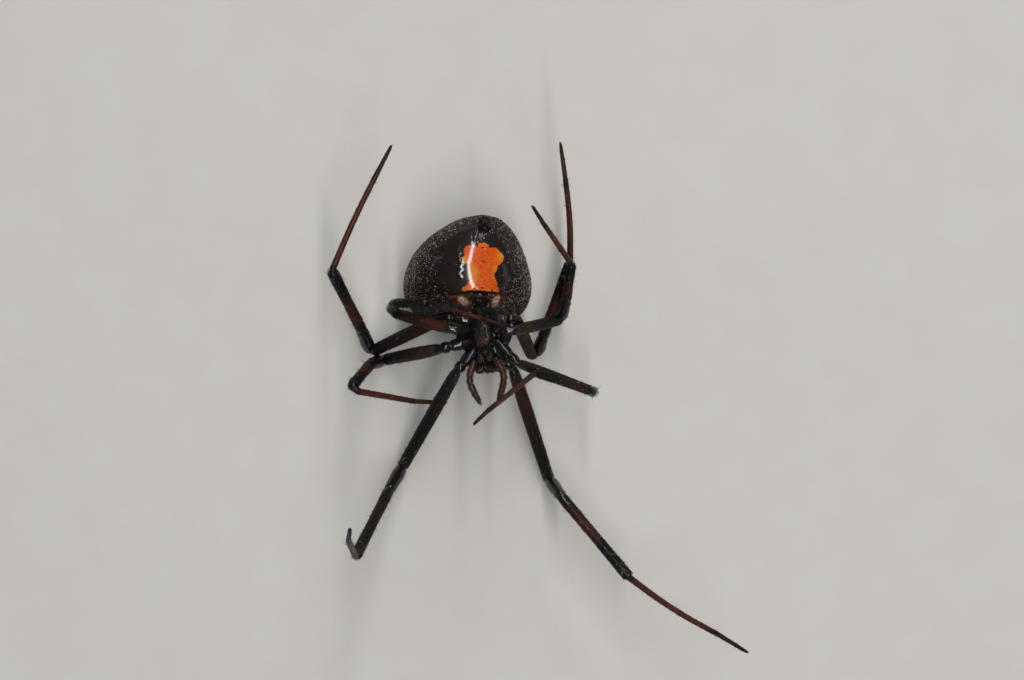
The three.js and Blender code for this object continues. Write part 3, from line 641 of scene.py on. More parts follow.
def bristle(name, dark, golden, pale):
    """Chitin hair: smooth and thin, so it glints where it faces a light. Each hair has its own tone, from
    nearly black through a golden brown to a pale grey; the golden and pale tones are partly the hair's own
    colour and partly painted glints."""
    material, tree, _, tone = new_finish(name, (), ["tone"])
    # Golden and pale tones: partly the hair's colour, partly painted glints of the hairs.
    tint = shaded(tree, tone, 0.5, 0.62, dark, golden)
    return dress(material, {
        "Base Color": shaded(tree, tone, 0.72, 0.86, tint, pale),
        "Roughness": 0.4,
        "IOR": 1.55,
        "Specular IOR Level": 0.3,
    })


def eye_lens():
    """Clear cuticle over a dark cup: black glass to the eye, with a hard small glint."""
    material, tree, _, depth = new_finish("eye_lens", [0.1])
    return dress(material, {
        "Base Color": shaded(tree, depth, 0.3, 0.7, "#050506", "#16110e"),
        "Roughness": 0.04,
        "IOR": 1.5,
        "Coat Weight": 0.6,
        "Coat Roughness": 0.02,
    })


def fang_chitin():
    """Dense dark chitin of fangs and claws: polished, and red-brown where it is thin."""
    material, tree, _, streak = new_finish("fang_chitin", [0.15])
    return dress(material, {
        "Base Color": shaded(tree, streak, 0.3, 0.7, "#120806", "#3a160c"),
        "Roughness": 0.18,
        "IOR": 1.56,
    })


def floor_card():
    """Pale matt card under the model, with the faint mottle of paper, 3 mm across, and its 0.4 mm fibres."""
    material, tree, _, mottle, fibre = new_finish("floor_card", (3.0, 0.4))
    return dress(material, {
        "Base Color": shaded(tree, mottle, 0.3, 0.7, "#cbc7c1", "#cdcac4"),
        "Roughness": 0.85,
        "Normal": relief(tree, ((fibre, 0.01),)),
    })


# Abdomen

def hourglass_curve():
    """Closed curve through the outline's points: Catmull-Rom cubics, eight steps from point to point."""
    p = [np.roll(HOURGLASS_OUTLINE, shift, axis=0)[:, None, :] for shift in (1, 0, -1, -2)]
    t = (np.arange(8) / 8)[None, :, None]
    curve = 0.5 * (
        2 * p[1]
        + (p[2] - p[0]) * t
        + (2 * p[0] - 5 * p[1] + 4 * p[2] - p[3]) * t**2
        + (3 * p[1] - p[0] - 3 * p[2] + p[3]) * t**3
    )
    return curve.reshape(-1, 2) + HOURGLASS_MIDDLE


def distance_to(places, starts, ends):
    """Distance of each plan place to the nearest of the straight edges from starts to ends, in mm."""
    edge = ends - starts
    offset = places[..., None, :] - starts
    share = np.clip(np.sum(offset * edge, axis=-1) / np.sum(edge * edge, axis=-1), 0, 1)
    return np.linalg.norm(offset - share[..., None] * edge, axis=-1).min(axis=-1)


def depth_inside(places, outline):
    """Distance of each plan place to the nearest edge of the outline, in mm, positive inside. A place is
    inside where a ray from it crosses the outline an odd number of times."""
    starts, ends = outline, np.roll(outline, -1, axis=0)
    edge = ends - starts
    nearest = distance_to(places, starts, ends)
    above = (starts[None, :, 1] > places[:, 1:2]) != (ends[None, :, 1] > places[:, 1:2])
    slope = edge[:, 0] / np.where(edge[:, 1] == 0, 1e-9, edge[:, 1])
    crossing = starts[None, :, 0] + slope * (places[:, 1:2] - starts[None, :, 1])
    odd = np.sum(above & (places[:, :1] < crossing), axis=1) % 2 == 1
    return np.where(odd, nearest, -nearest)


# Thin pale ovals of the belly: place, half size across and along, turn in degrees, strength
LUNG_COVERS = (
    (-4.32, 5.6, 0.46, 0.28, -35, 1.0), (-2.48, 5.58, 0.5, 0.25, 61, 1.0),
    (-4.7, 5.84, 0.6, 0.12, 4, 0.5), (-2.2, 5.8, 0.45, 0.12, -14, 0.5),
)

# Yellow parts of the mark, in the same columns. The tall oval at -3.74, 7.05, by the left rim of the waist,
# is a painted highlight: the lighter glow beside the belly's highlight, drawn in the mark's yellow.
YELLOW_PARTS_AND_GLOW = (
    (-3.14, 8.85, 0.32, 0.2, 0, 1.0), (-4.26, 7.98, 0.26, 0.4, 0, 1.0), (-2.19, 8.1, 0.26, 0.45, 0, 1.0),
    (-2.46, 7.2, 0.22, 0.5, 0, 1.0), (-3.74, 7.05, 0.35, 0.6, 0, 1.0), (-3.74, 6.2, 0.9, 0.14, 0, 1.0),
    (-2.69, 6.18, 0.6, 0.08, 0, 1.0),
)

# Fold across the belly: its middle, its reach to each side, its sag. Then the middles of the pits
FOLD_MIDDLE = np.array([-3.6, 6.05])
FOLD_REACH = 1.75
FOLD_SAG = 0.075
PITS = np.array([[-3.2, 8.66], [-3.16, 7.84], [-3.24, 6.34], [-3.62, 6.28], [-2.68, 6.2]])
PIT_SIZE = 0.05

# Creases of the belly: height and half width in mm, then the places that each runs through
CREASES = (
    (0.034, 0.1, ((-4.62, 8.72), (-4.74, 8.5), (-4.56, 8.34), (-4.7, 8.14), (-4.52, 7.96))),
    (0.034, 0.1, ((-4.44, 7.74), (-4.6, 7.56), (-4.48, 7.4), (-4.66, 7.18), (-4.5, 6.98))),
    (0.035, 0.1, ((-5.5, 8.12), (-5.34, 7.98), (-5.26, 8.04), (-5.04, 7.76), (-4.84, 7.94), (-4.52, 7.96))),
    (0.03, 0.08, ((-3.42, 9.85), (-3.58, 9.5), (-3.66, 9.1))),
    (0.03, 0.08, ((-3.12, 9.6), (-3.1, 9.25))),
    (0.03, 0.08, ((-2.85, 9.85), (-2.7, 9.5))),
)


def oval_share(x, y, ovals, steep):
    """How far a place lies within the ovals, the most for any of them: its strength times e to the minus
    u squared plus v squared, to the power steep, u and v being the place in half sizes of the oval."""
    share = np.zeros_like(x)
    for middle_x, middle_y, across, along, turn, strength in ovals:
        c, s = math.cos(math.radians(turn)), math.sin(math.radians(turn))
        u = (c * (x - middle_x) + s * (y - middle_y)) / across
        v = (c * (y - middle_y) - s * (x - middle_x)) / along
        share = np.maximum(share, strength * np.exp(-((u * u + v * v) ** steep)))
    return share


def pit_share(x, y):
    """How far a place lies within a pit of the belly, each half as long as it is wide."""
    return sum(bell(np.hypot((x - pit_x) / 2, y - pit_y), PIT_SIZE) for pit_x, pit_y in PITS)


def fold_distance(x, y):
    """Distance to the rear of the belly's fold, a shallow arc that sags toward the head at its ends."""
    return y - (FOLD_MIDDLE[1] - FOLD_SAG * (x - FOLD_MIDDLE[0]) ** 2)


def abdomen_relief(x, y):
    """Height added to the belly, in mm: a groove along the fold with a soft lip behind it, raised lung
    covers, small pits over the muscle ends, a slight sideways tilt of the mark's waist one way and of its
    front the other way, fine ribs before the spinnerets, and the creases."""
    gap = fold_distance(x, y)
    window = 1 - smooth(FOLD_REACH * 0.6, FOLD_REACH * 1.15, np.abs(x - FOLD_MIDDLE[0]))
    height = window * (0.1 * bell(gap - 0.2, 0.2) - 0.24 * bell(gap, 0.07) - 0.1 * bell(gap + 0.25, 0.2))
    height = height + 0.05 * oval_share(x, y, LUNG_COVERS, 2)
    height = height - 0.04 * pit_share(x, y)
    tilt = 0.035 * bell(y - 6.2, 0.45) - 0.06 * bell(y - 7.5, 0.7)
    height = height + tilt * (x + 3.6) * bell(x + 3.6, 1.4)
    ribs = 0.01 * np.cos(2 * np.pi * (x + 0.15 * y) / 0.21)
    height = height + ribs * bell(y - 9.25, 0.4) * bell(x + 3.5, 0.6)
    places = together(x, y)
    for rise, wide, line in CREASES:
        line = np.array(line)
        height = height + rise * bell(distance_to(places, line[:-1], line[1:]), wide)
    return height


def abdomen_surface(share, around):
    """Ellipse across the body at a share of its length: half width times cosine sideways, half height
    times sine upward, leaned at the rear, with the belly's relief, and flat where it meets the floor."""
    half, top, bottom = stations(ABDOMEN_STATIONS, share)
    lean = np.where(share < 0.5, ABDOMEN_REAR_LEAN * (1 - share / 0.5) ** 2, 0)
    x = ABDOMEN_MIDDLE_X + lean + np.maximum(0.02, half) * np.cos(around)
    y = ABDOMEN_REAR_Y - ABDOMEN_LENGTH * share
    z = (top + bottom) / 2 + (top - bottom) / 2 * np.sin(around)
    z = z + abdomen_relief(x, y) * smooth(0.35, 0.8, np.sin(around))
    return together(x, y, np.maximum(z, 0.0))


def abdomen_normal(share, around):
    """Outward normal, the cross product of small steps along and around the surface, and the direction
    of the step along, toward the head."""
    step = 0.002
    behind, before = np.clip(share - step, 0, 1), np.clip(share + step, 0, 1)
    ahead = abdomen_surface(before, around) - abdomen_surface(behind, around)
    beside = abdomen_surface(share, around + step) - abdomen_surface(share, around - step)
    normal = unit(np.cross(ahead, beside))
    outward = abdomen_surface(share, around) - np.array([ABDOMEN_MIDDLE_X, 7.0, 3.6])
    return normal * np.sign(np.sum(normal * outward, axis=-1, keepdims=True)), unit(ahead)


def bald_share(x, y, z):
    """Where the belly is smooth and nearly hairless: an oval about its middle that fades at its rim."""
    reach = np.hypot((x + 3.65) / 2.75, (y - 7.75) / 2.6)
    return (1 - smooth(0.58, 1.05, reach)) * smooth(4.5, 6.0, z)


def make_abdomen(material, hair_material):
    """Abdomen whose rings are drawn closer at both ends, by a cosine, with its marks as point values."""
    share = 0.5 - 0.5 * np.cos(np.linspace(0.035, np.pi - 0.035, ABDOMEN_GRID[0]))
    rings = abdomen_surface(share[:, None], full_turn(ABDOMEN_GRID[1])[None, :])
    tips = abdomen_surface(np.array([0.0, 1.0]), np.array([0.0, 0.0]))
    tips[:, 0] = [ABDOMEN_MIDDLE_X + ABDOMEN_REAR_LEAN, ABDOMEN_MIDDLE_X]
    shape = closed_skin(rings, *tips)
    x, y, z = shape[0].T
    mark = np.full(len(x), -1.0)
    near = (np.abs(x - HOURGLASS_MIDDLE[0]) < 1.8) & (np.abs(y - HOURGLASS_MIDDLE[1]) < 2.0) & (z > 5.5)
    mark[near] = depth_inside(together(x[near], y[near]), hourglass_curve())
    gap = fold_distance(x, y)
    beside = 1 - smooth(1.1, 1.9, np.abs(x - FOLD_MIDDLE[0]))
    values = {
        "mark": mark,
        # Yellow rim of the mark, with a painted highlight glow by the waist's left rim.
        "yellow": oval_share(x, y, YELLOW_PARTS_AND_GLOW, 1),
        "pit": pit_share(x, y),
        "lung": oval_share(x, y, LUNG_COVERS, 2) * (z > 4.8),
        "fold": smooth(-0.75, -0.15, gap) * (1 - smooth(-0.04, 0.1, gap)) * beside * (z > 5.2),
        "bald": bald_share(x, y, z),
    }
    piece("abdomen_skin", shape, material, ["abdomen", "hourglass"], values)
    for half, low in (("left", np.pi / 2), ("right", -np.pi / 2)):
        abdomen_hair("abdomen_hair_" + half, low, hair_material)


def abdomen_hair(name, low, material):
    """Short hairs that lie toward the rear over one half of the abdomen, scattered evenly over its area,
    sparse on the smooth belly and the lung covers. More are pale where the skin slopes toward the rim, which
    paints the glint of the hairs there, and by the waist, where they are longer too."""
    count = HAIRS_OF_ABDOMEN_HALF
    share = random.random(count)
    around = low + random.random(count) * np.pi
    girth = stations(ABDOMEN_STATIONS, share)[0] / ABDOMEN_STATIONS[:, 1].max()
    roots = abdomen_surface(share, around)
    x, y, z = roots.T
    keep = (random.random(count) < girth) & (z > 0.2)
    keep &= random.random(count) > 0.97 * bald_share(x, y, z)
    keep &= random.random(count) > 0.85 * oval_share(x, y, LUNG_COVERS, 2) * (z > 4.8)
    share, around, roots = share[keep], around[keep], roots[keep]
    x, y, z = roots.T
    count = len(roots)
    outward, toward_head = abdomen_normal(share, around)
    by_waist = bell(np.hypot((x + 2.8) / 1.9, y - 5.05), 0.8) * (z > 2.5)
    # Pale share that rises on the sloping rim is a painted glint of the hairs there; by the waist the hairs
    # are paler as well.
    pale = 0.07 + 0.42 * bell(outward[:, 2] - 0.42, 0.3) + 0.35 * by_waist
    sway = random.normal(0, 0.4, (count, 1))
    along = unit(sway * np.cross(outward, toward_head) - toward_head)
    unwrap = together(0.02 + 0.96 * (around + np.pi / 2) / (2 * np.pi), 0.02 + 0.96 * share)
    lengths = random.uniform(0.08, 0.14, count) * (1 + 1.3 * by_waist)
    widths = random.uniform(0.022, 0.038, count)
    lift = np.radians(random.uniform(22, 50, count))
    coat(name, material, roots, outward, along, lengths, widths, lift, 0.18, pale, unwrap)


def make_epigynum(material):
    """Knob on the steep front of the belly: an oval dome of cosine height that leans with the belly, its
    top crumpled by a crosswise hollow, a raised rear lip and small wrinkles."""
    share = np.linspace(0.04, 1, 30)[::-1, None]
    around = full_turn(64)[None, :]
    x = 0.6 * share * np.cos(around) * (1 + 0.07 * np.cos(3 * around + 0.7))
    y = 0.36 * share * np.sin(around) * (1 + 0.05 * np.cos(4 * around))
    hollow = 0.14 * bell(x, 0.26) * bell(y + 0.06, 0.07)
    lip = 0.13 * bell(x, 0.36) * bell(y - 0.09, 0.08)
    wrinkles = 0.03 * np.sin(26 * x + 5 * y) * np.cos(21 * y - 8 * x) * (1 - share**4)
    rise = 0.2 * np.cos(share * np.pi / 2) ** 0.7 - 0.2 * share**4
    height = rise - hollow + lip + wrinkles + EPIGYNUM_SLOPE * y
    rings = EPIGYNUM_PLACE + together(x, y, height)
    base = rings[0].mean(axis=0) - np.array([0, 0, 0.1])
    shape = closed_skin(rings, base, rings[-1].mean(axis=0))
    values = {"mark": -1, "yellow": 0, "pit": 0, "lung": 0, "fold": 0.45, "bald": 1}
    piece("epigynum_plate", shape, material, ["epigynum"], values)


# Spinnerets of a side, front to rear: place across and along, lean outward, length, radius
SPINNERETS = ((0.19, -0.2, 0.22, 0.5, 0.135), (0.1, 0.0, 0.06, 0.36, 0.09), (0.2, 0.19, 0.2, 0.46, 0.12))


def make_spinnerets(material, hair_material):
    """Three pairs of two-jointed cones on a ringed base, each a tube whose radius steps in at its joint,
    with a small pointed colulus before them, the blunt tubercle behind, and hairs round their ends."""
    out = unit(SPINNERET_AIM)
    share = np.linspace(0, 1, 14)
    run = share[:, None] * out
    base = SPINNERET_PLACE + 0.3 * run - 0.12 * out
    parts = [tube(base, 0.4 - 0.08 * share**2 + 0.02 * np.sin(9 * share), 40, ACROSS_BODY)]
    roots, aims = [], []
    for across, along, lean, long, stout in SPINNERETS:
        for side, _ in SIDES:
            root = SPINNERET_PLACE + np.array([side * across, along * 0.84, -along * 0.55]) + 0.08 * out
            aim = unit(out + np.array([-side * lean, 0, 0]))
            path = root + share[:, None] * long * aim
            radii = stout * (1 - 0.35 * smooth(0.55, 0.66, share) - 0.35 * share**4)
            parts.append(tube(path, radii, 20, ACROSS_BODY))
            roots.append(path[9:13])
            aims.append(np.repeat(aim[None], 4, axis=0))
    colulus = SPINNERET_PLACE + np.array([0, -0.33, 0.2]) + 0.2 * run
    parts.append(tube(colulus, 0.06 * (1.1 - share), 12, ACROSS_BODY))
    tubercle = SPINNERET_PLACE + np.array([0, 0.36, -0.22]) + 0.2 * run
    parts.append(tube(tubercle, 0.15 * np.sqrt(1.05 - share**2), 16, ACROSS_BODY))
    piece("spinneret_group", joined(parts), material, ["spinnerets"], {"amber": 0})
    roots = np.repeat(np.vstack(roots), 12, axis=0)
    aims = np.repeat(np.vstack(aims), 12, axis=0)
    outward = unit(random.normal(0, 1, roots.shape) + 0.2 * aims)
    outward = unit(outward - np.sum(outward * aims, axis=1, keepdims=True) * aims)
    unwrap = random.random((len(roots), 2)) * 0.9 + 0.05
    bristles(
        "spinneret_hair", hair_material, roots + 0.06 * outward, outward, aims, unwrap,
        (0.12, 0.26), 0.012, (15, 40),
    )


# Head and chest

def carapace_surface(share, around):
    """Upper arc: half width times cosine, depth times sine away from the belly, with a long dent at the
    groove and faint furrows that run out from it. Lower arc: the shallow underside of the margin."""
    half, depth = stations(CARAPACE_STATIONS, share)
    right = half * np.cos(around)
    under = np.sin(around)
    forward = CARAPACE_REAR + CARAPACE_LENGTH * share
    groove = 0.17 * bell(share - 0.42, 0.1) * bell(right, 0.22)
    angle = np.arctan2(right, forward - 0.05)
    furrows = 0.03 * np.cos(8 * angle) * bell(share - 0.4, 0.2) * smooth(0.2, 0.7, np.abs(right))
    belly = np.where(
        under > 0,
        CARAPACE_MARGIN - (depth - groove - furrows) * under,
        CARAPACE_MARGIN - 0.02 * under,
    )
    return on_prosoma(forward, right, belly)


def make_carapace(material, hair_material):
    """Carapace whose rings are drawn closer at the waist and the face, where it is closed, with short hairs
    that lie toward the face."""
    share = 0.5 - 0.5 * np.cos(np.linspace(0.05, np.pi - 0.05, CARAPACE_GRID[0]))
    rings = carapace_surface(share[:, None], full_turn(CARAPACE_GRID[1])[None, :])
    rear = on_prosoma(CARAPACE_REAR - 0.03, 0, CARAPACE_MARGIN - 0.12)
    front = on_prosoma(CARAPACE_REAR + CARAPACE_LENGTH + 0.03, 0, CARAPACE_MARGIN - 0.4)
    shape = closed_skin(rings, rear, front)
    piece("carapace_shell", shape, material, ["carapace"], {"amber": 0})
    count = 900
    share, around = random.uniform(0.06, 0.95, count), random.uniform(0.1, np.pi - 0.1, count)
    roots = carapace_surface(share, around)
    middle = on_prosoma(CARAPACE_REAR + CARAPACE_LENGTH * share, 0, CARAPACE_MARGIN - 0.3)
    outward = unit(roots - middle)
    along = unit(FORWARD - (outward @ FORWARD)[:, None] * outward)
    unwrap = together(0.05 + 0.9 * share, 0.05 + 0.9 * around / np.pi)
    bristles(
        "carapace_hair", hair_material, roots, outward, along, unwrap,
        (0.08, 0.2), 0.013, (20, 50),
    )


def plate_shape(outline, low, high, dome):
    """Shield: the outline drawn in by a share, its height from the rim a quarter circle up to the dome."""
    middle = outline.mean(axis=0)
    share = np.concatenate([[1.0, 1.0], np.cos(np.linspace(0.08, 1.5, 22))])[:, None]
    rise = np.concatenate([[0.0, 0.85], 1 - 0.15 * (1 - np.sin(np.linspace(0.08, 1.5, 22)))])[:, None]
    lift = low + (high - dome - low) * np.minimum(1, rise / 0.85) + dome * np.clip((rise - 0.85) / 0.15, 0, 1)
    forward = middle[0] + (outline[None, :, 0] - middle[0]) * share
    right = middle[1] + (outline[None, :, 1] - middle[1]) * share
    rings = on_prosoma(forward, right, lift)
    return closed_skin(rings, on_prosoma(*middle, low), on_prosoma(*middle, high))


def make_sternum(material, hair_material):
    """Heart-shaped shield, scalloped where each coxa meets it, with an amber patch in its front half, and
    thin hairs that stand up from it."""
    around = full_turn(96)
    narrow = 0.72 + 0.28 * np.cos(around / 2) ** 2
    scallop = 1 - 0.035 * np.cos(8 * around)
    forward = 0.48 * STERNUM_LENGTH * np.cos(around) * scallop - 0.06
    right = 0.5 * STERNUM_WIDTH * np.sin(around) * narrow * scallop
    shape = plate_shape(together(forward, right), 0.12, STERNUM_TOP, 0.2)
    offset = shape[0] - PROSOMA_CENTRE
    ahead, aside = offset @ FORWARD, offset @ RIGHT
    amber = 0.6 * bell(np.hypot((ahead - 0.38) / 0.9, (aside - 0.06) / 1.1), 0.3)
    piece("sternum_shield", shape, material, ["sternum"], {"amber": amber})
    count = 260
    spread = np.sqrt(random.random(count)) * 0.9
    turn = random.random(count) * 2 * np.pi
    ahead = 0.48 * STERNUM_LENGTH * spread * np.cos(turn) - 0.06
    aside = 0.42 * STERNUM_WIDTH * spread * np.sin(turn)
    roots = on_prosoma(ahead, aside, STERNUM_TOP - 0.16 * spread**2)
    along = unit(FORWARD + random.normal(0, 0.5, (count, 1)) * RIGHT)
    unwrap = together(0.5 + 0.45 * spread * np.cos(turn), 0.5 + 0.45 * spread * np.sin(turn))
    bristles(
        "sternum_hair", hair_material, roots, BELLY, along, unwrap,
        (0.14, 0.28), 0.014, (30, 65),
    )


def make_underbody(material):
    """Soft skin between the shield and the carapace: a flattened ball, dark in the gaps of the coxae, and
    the waist, a ringed tube to the abdomen."""
    right, belly, forward = np.moveaxis(ball(30, 60, 0.12), -1, 0)
    tips = on_prosoma(np.array([1.57, -1.33]), 0.0, 0.12)
    body = closed_skin(on_prosoma(1.45 * forward + 0.12, 1.1 * right, 0.08 + 0.36 * belly), *tips)
    share = np.linspace(0, 1, 40)
    start = on_prosoma(-1.0, 0, 0.4)
    waist = tube(start + share[:, None] * (WAIST_END - start), 0.27 + 0.012 * np.sin(40 * share), 40)
    piece("underbody", joined([body, waist]), material, ["pedicel"], {"amber": 0})


# Labium and lobes: place ahead and to the right, half length, half width, turn in degrees
MOUTH_LOBES = ((1.06, 0.0, 0.22, 0.27, 0), (1.26, -0.31, 0.38, 0.21, 14), (1.26, 0.31, 0.38, 0.21, -14))


def make_mouthparts(material, hair_material):
    """Labium and the two lobes beside it: oval shields turned toward each other, paler at their rims, with
    hairs that lean to the middle."""
    parts = []
    around = full_turn(40)
    for ahead, aside, long, wide, turn in MOUTH_LOBES:
        c, s = math.cos(math.radians(turn)), math.sin(math.radians(turn))
        f, r = long * np.cos(around), wide * np.sin(around)
        outline = together(ahead + f * c - r * s, aside + f * s + r * c)
        parts.append(plate_shape(outline, 0.12, 0.64, 0.16))
    shape = joined(parts)
    amber = smooth(1.15, 1.6, (shape[0] - PROSOMA_CENTRE) @ FORWARD) * 0.55
    piece("mouth_lobes", shape, material, ["mouthparts"], {"amber": amber})
    count = 160
    side = np.sign(random.random(count) - 0.5)
    roots = on_prosoma(random.uniform(1.15, 1.55, count), side * random.uniform(0.1, 0.45, count), 0.6)
    along = unit(FORWARD - side[:, None] * 0.7 * RIGHT)
    bristles(
        "mouth_hair", hair_material, roots, BELLY, along, None,
        (0.12, 0.24), 0.012, (30, 60), 0.2,
    )


def make_jaws(material, fang_material):
    """Each jaw is a stout tube that swells past its root, and its fang a cone along an arc that curls
    inward a little more than a quarter turn."""
    share = np.linspace(0, 1, 40)
    curl = share[:, None] * 1.9
    for side, label in SIDES:
        foot = on_prosoma(1.97, side * 0.3, CARAPACE_MARGIN + 0.12)
        end = on_prosoma(2.05, side * 0.33, CARAPACE_MARGIN + 0.2 + CHELICERA_LENGTH)
        jaw = tube(foot + share[:, None] * (end - foot), 0.26 * (0.75 + 0.9 * share - 0.95 * share**2), 40)
        piece("jaw_" + label, jaw, material, ["chelicera_" + label], {"amber": 0})
        arc = (np.sin(curl) * 0.3 - 0.03) * -side * RIGHT - (1 - np.cos(curl)) * 0.2 * FORWARD
        fang = tube(end + arc + 0.03 * BELLY, 0.085 * (1.04 - share) ** 0.7, 20)
        piece("fang_" + label, fang, fang_material)


def make_eyes(material):
    """Eight lenses: balls of the eye's radius set half into the face of the carapace."""
    lens = ball(22, 32, 0.15)
    poles = np.array([[0, 0, 1.0], [0, 0, -1.0]])
    rows = ("front_middle", "front_side", "rear_middle", "rear_side")
    for row, (right, belly, scale) in zip(rows, EYES):
        share = np.linspace(0.5, 1, 200)
        half, depth = stations(CARAPACE_STATIONS, share)
        inside = (right / half) ** 2 + ((belly - CARAPACE_MARGIN) / depth) ** 2 < 1
        forward = CARAPACE_REAR + CARAPACE_LENGTH * share[inside].max()
        for side, label in SIDES:
            centre = on_prosoma(forward, side * right, belly)
            radius = EYE_RADIUS * scale
            shape = closed_skin(centre + radius * lens, *(centre + radius * poles))
            piece(f"lens_{row}_{label}", shape, material, [f"eye_{row}_{label}"])


# Feelers: place of each joint ahead, aside and toward the belly, then share of the length and radius, and
# share of the length and amount of brown
PALP_JOINTS = ((1.44, 0.62, 0.66), (2.3, 0.98, 0.8), (2.7, 1.0, 0.84), (3.2, 0.86, 0.88), (3.95, 0.52, 0.94))
PALP_RADII = np.array([
    [0.0, 0.16], [0.1, 0.2], [0.36, 0.2], [0.385, 0.15], [0.41, 0.19], [0.49, 0.2], [0.515, 0.155],
    [0.54, 0.19], [0.68, 0.2], [0.7, 0.16], [0.73, 0.19], [0.88, 0.15], [0.97, 0.09], [1.0, 0.05],
])
PALP_BROWNS = np.array([
    [0, 0.2], [0.1, 0.75], [0.3, 0.8], [0.5, 0.6], [0.7, 0.7], [0.85, 0.4], [1, 0.1],
])


def make_palps(material, hair_material):
    """Feelers: a tube with a neck at each joint, brown in the middles and dark at the end, with hair."""
    for side, label in SIDES:
        joints = np.array([on_prosoma(f, side * r, b) for f, r, b in PALP_JOINTS])
        path, travelled, _ = bent_path(joints, 0.4, 0.035)
        share = travelled / travelled[-1]
        radii = np.interp(share, *PALP_RADII.T)
        values = {"brown": on_rings(np.interp(share, *PALP_BROWNS.T), PALP_SIDES), "shine": 0.4}
        skin = tube(path, radii, PALP_SIDES)
        piece("feeler_" + label, skin, material, ["palp_" + label], values)
        leg_hair("feeler_hair_" + label, path, radii, random.random(420), 0.2, 0.2, hair_material)


# Legs

def leg_joints(name):
    """Root of the coxa, the hip, then the end of each segment: the last end plus length times direction."""
    pair, side = name[-1], -1 if name.startswith("left") else 1
    forward, right = COXA_ROOTS[pair]
    hip, *aims = LEG_POSES[name]
    steps = [length * direction(*aim) for length, aim in zip(LEG_LENGTHS[pair], aims)]
    root = on_prosoma(forward, side * right, COXA_ROOT_HEIGHT)
    return np.vstack([root, hip, np.array(hip) + np.cumsum(steps, axis=0)])


def leg_hair(name, path, radii, share, length, pale, material):
    """Hairs scattered round a tube at shares of its length, leaning toward its tip. Three in a hundred are
    twice as long and stand up more."""
    count = len(share)
    travelled = np.linspace(0, 1, len(path))
    tangents, across, up = frames(path)
    spread = random.random(count) * 2 * np.pi

    def at(values):
        """What the path's points have, on a straight line from point to point, at each hair's share."""
        return together(*(np.interp(share, travelled, column) for column in values.T))

    outward = unit(np.cos(spread)[:, None] * at(across) + np.sin(spread)[:, None] * at(up))
    along = unit(at(tangents) + random.normal(0, 0.12, (count, 1)) * np.cross(at(tangents), outward))
    roots = at(path) + np.interp(share, travelled, radii)[:, None] * outward
    lengths = length * random.uniform(0.7, 1.25, count)
    long = random.random(count) < 0.03
    lengths = np.where(long, lengths * 2.0, lengths)
    lift = np.radians(np.where(long, random.uniform(45, 65, count), random.uniform(16, 38, count)))
    widths = np.where(long, 0.026, 0.022)
    unwrap = together(0.02 + 0.96 * share, 0.02 + 0.96 * spread / (2 * np.pi))
    coat(name, material, roots, outward, along, lengths, widths, lift, 0.12, pale, unwrap)


def make_claws(name, tip, tangent, across, material):
    """Three curved claws at a foot's tip: cones along an arc that bends downward, the middle one short."""
    share = np.linspace(0, 1, 12)
    up = np.cross(tangent, across)
    parts = []
    for aside, long in ((-0.03, 0.17), (0.03, 0.17), (0.0, 0.1)):
        line = (
            tip
            + share[:, None] * long * tangent
            + (share[:, None] + 0.4) * aside * across
            - (share[:, None] ** 2) * 0.45 * long * up
        )
        parts.append(tube(line, 0.018 * (1.1 - share), 8))
    piece(name, joined(parts), material)


def make_leg(name, material, hair_material, claw_material):
    """One skin from coxa to tarsus: a tube on the bent path whose radius narrows to a neck at each joint.
    The metatarsus bows sideways by a half sine wave. A leg's own girths multiply the radii of the table, and
    its tints the brown. Each radius is evened out with its neighbours, a quarter, a half and a quarter."""
    joints = leg_joints(name)
    path, travelled, marks = bent_path(joints, KNEE_BEND_RADIUS, 0.05)
    spans = np.diff(marks)

    def along_leg(table):
        """A table's last column at each point of the path, on a straight line from row to row."""
        places = [marks[s] + share * spans[s] + sum(offset) for s, share, *offset, _ in table]
        return np.interp(travelled, places, [row[-1] for row in table])

    across = unit(np.cross((0, 0, 1), joints[5] - joints[4]))
    bow = METATARSUS_BOWS.get(name, 0.0) * np.sin(np.pi * np.clip((travelled - marks[4]) / spans[4], 0, 1))
    path = path + bow[:, None] * across
    girth, foot_girth = LEG_GIRTHS.get(name, (1.0, 1.0))
    radii = along_leg([(*row, radius * (foot_girth if row[0] > 3 else girth)) for *row, radius in LEG_RADII])
    radii = np.convolve(np.pad(radii, 1, mode="edge"), [0.25, 0.5, 0.25], mode="valid")
    shape = tube(path, radii, LEG_SIDES, flatten=0.97)
    shape[0][:, 2] = np.maximum(shape[0][:, 2], 0.01)
    femur, tibia, foot = LEG_TINTS.get(name, (1.0, 1.0, 1.0))
    tint = np.interp(travelled, marks[2:6], [femur, tibia, tibia, foot])
    values = {
        "brown": on_rings(along_leg(LEG_BROWNS) * tint, LEG_SIDES),
        "shine": on_rings(along_leg(LEG_SHINES), LEG_SIDES),
    }
    nodes = [f"{name}_{segment}" for segment in ("coxa", "femur", "patella", "tibia", "tarsus")]
    piece(name + "_skin", shape, material, nodes, values)
    counts = [int(density * span) for (density, *_), span in zip(LEG_HAIRS, spans)]
    segment = np.repeat(np.arange(6), counts)
    local = random.random(len(segment))
    share = (marks[segment] + local * spans[segment]) / marks[-1]
    _, lengths, pale = np.array(LEG_HAIRS)[segment].T
    # Paler hairs at the far ends of the femur and tibia of the first and fourth legs are a painted glint of
    # the hairs there.
    if name[-1] in "14":
        pale = pale + 0.3 * smooth(0.78, 0.9, local) * np.isin(segment, (1, 3))
    leg_hair(name + "_hair", path, radii, share, lengths, pale, hair_material)
    tangents, across, _ = frames(path)
    make_claws(name + "_claws", path[-1], tangents[-1], across[-1], claw_material)


# Stage

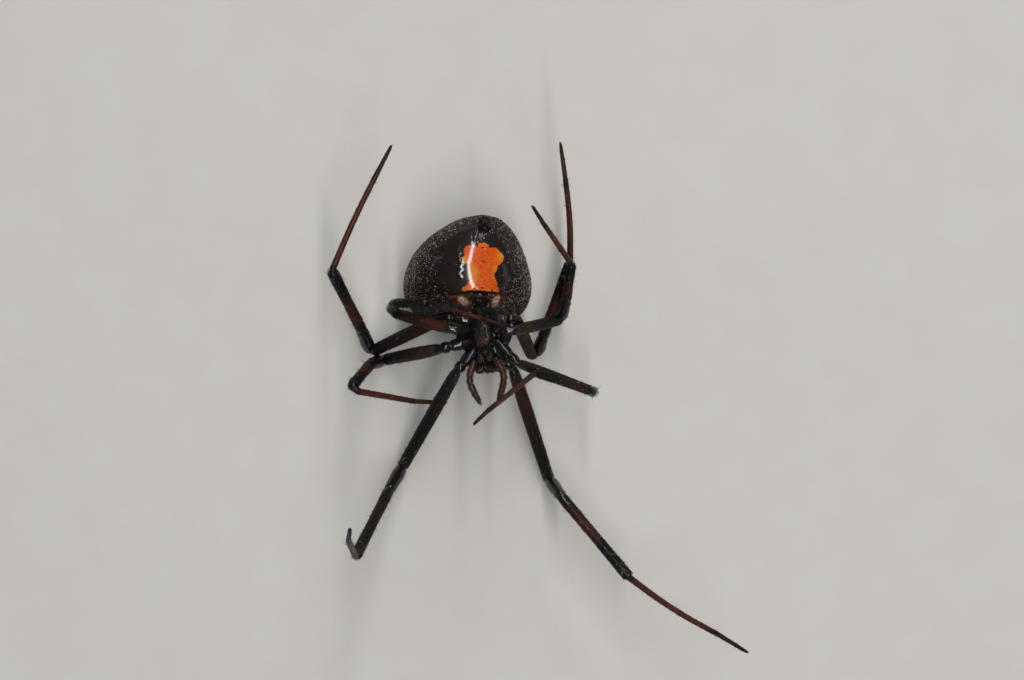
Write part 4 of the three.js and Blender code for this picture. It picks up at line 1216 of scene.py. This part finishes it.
def make_stage():
    """Flat pale card just under the model, a camera straight above, and soft studio lights. The lens is the
    sensor's width times the camera's height over the frame's plane, over the width of plane in view."""
    size, under = 0.6, -0.00002
    corners = [(-size, -size, under), (size, -size, under), (size, size, under), (-size, size, under)]
    mesh = bpy.data.meshes.new("floor")
    mesh.from_pydata(corners, [], [(0, 1, 2, 3)])
    mesh.materials.append(floor_card())
    floor = add_object("floor", mesh)

    camera = add_object("camera", bpy.data.cameras.new("camera"))
    camera.data.sensor_width = SENSOR_WIDTH
    camera.data.lens = SENSOR_WIDTH * (CAMERA_PLACE[2] - FRAME_PLANE) / (PHOTO_WIDTH * PIXEL_SIZE)
    camera.data.clip_start = 0.002
    camera.data.clip_end = 5
    camera.location = place(CAMERA_PLACE)
    bpy.context.scene.camera = camera

    world = bpy.data.worlds.new("studio")
    world.use_nodes = True
    background = world.node_tree.nodes["Background"]
    background.inputs["Color"].default_value = colour("#eceef2")
    background.inputs["Strength"].default_value = 0.1
    bpy.context.scene.world = world
    for name, where, turn, size, watts in LIGHTS:
        light = bpy.data.lights.new(name, "AREA")
        light.shape = "RECTANGLE"
        light.size, light.size_y = size
        light.energy = watts
        lamp = add_object(name, light)
        lamp.location = where
        lamp.rotation_euler = [math.radians(angle) for angle in turn]
    bpy.context.scene.view_settings.view_transform = "Standard"


make_stage()
abdomen_finish = abdomen_cuticle()
body_finish = body_cuticle()
leg_finish = leg_cuticle()
dark_bristle = bristle("dark_bristle", "#0e0a08", "#4a3226", "#b5aca2")
golden_bristle = bristle("golden_bristle", "#0d0a08", "#a87c46", "#eae4da")
fang_finish = fang_chitin()

make_abdomen(abdomen_finish, golden_bristle)
make_epigynum(abdomen_finish)
make_spinnerets(body_finish, dark_bristle)
make_carapace(body_finish, dark_bristle)
make_sternum(body_finish, dark_bristle)
make_underbody(body_finish)
make_mouthparts(body_finish, dark_bristle)
make_jaws(body_finish, fang_finish)
make_eyes(eye_lens())
make_palps(leg_finish, dark_bristle)
for leg in LEG_POSES:
    make_leg(leg, leg_finish, dark_bristle, fang_finish)
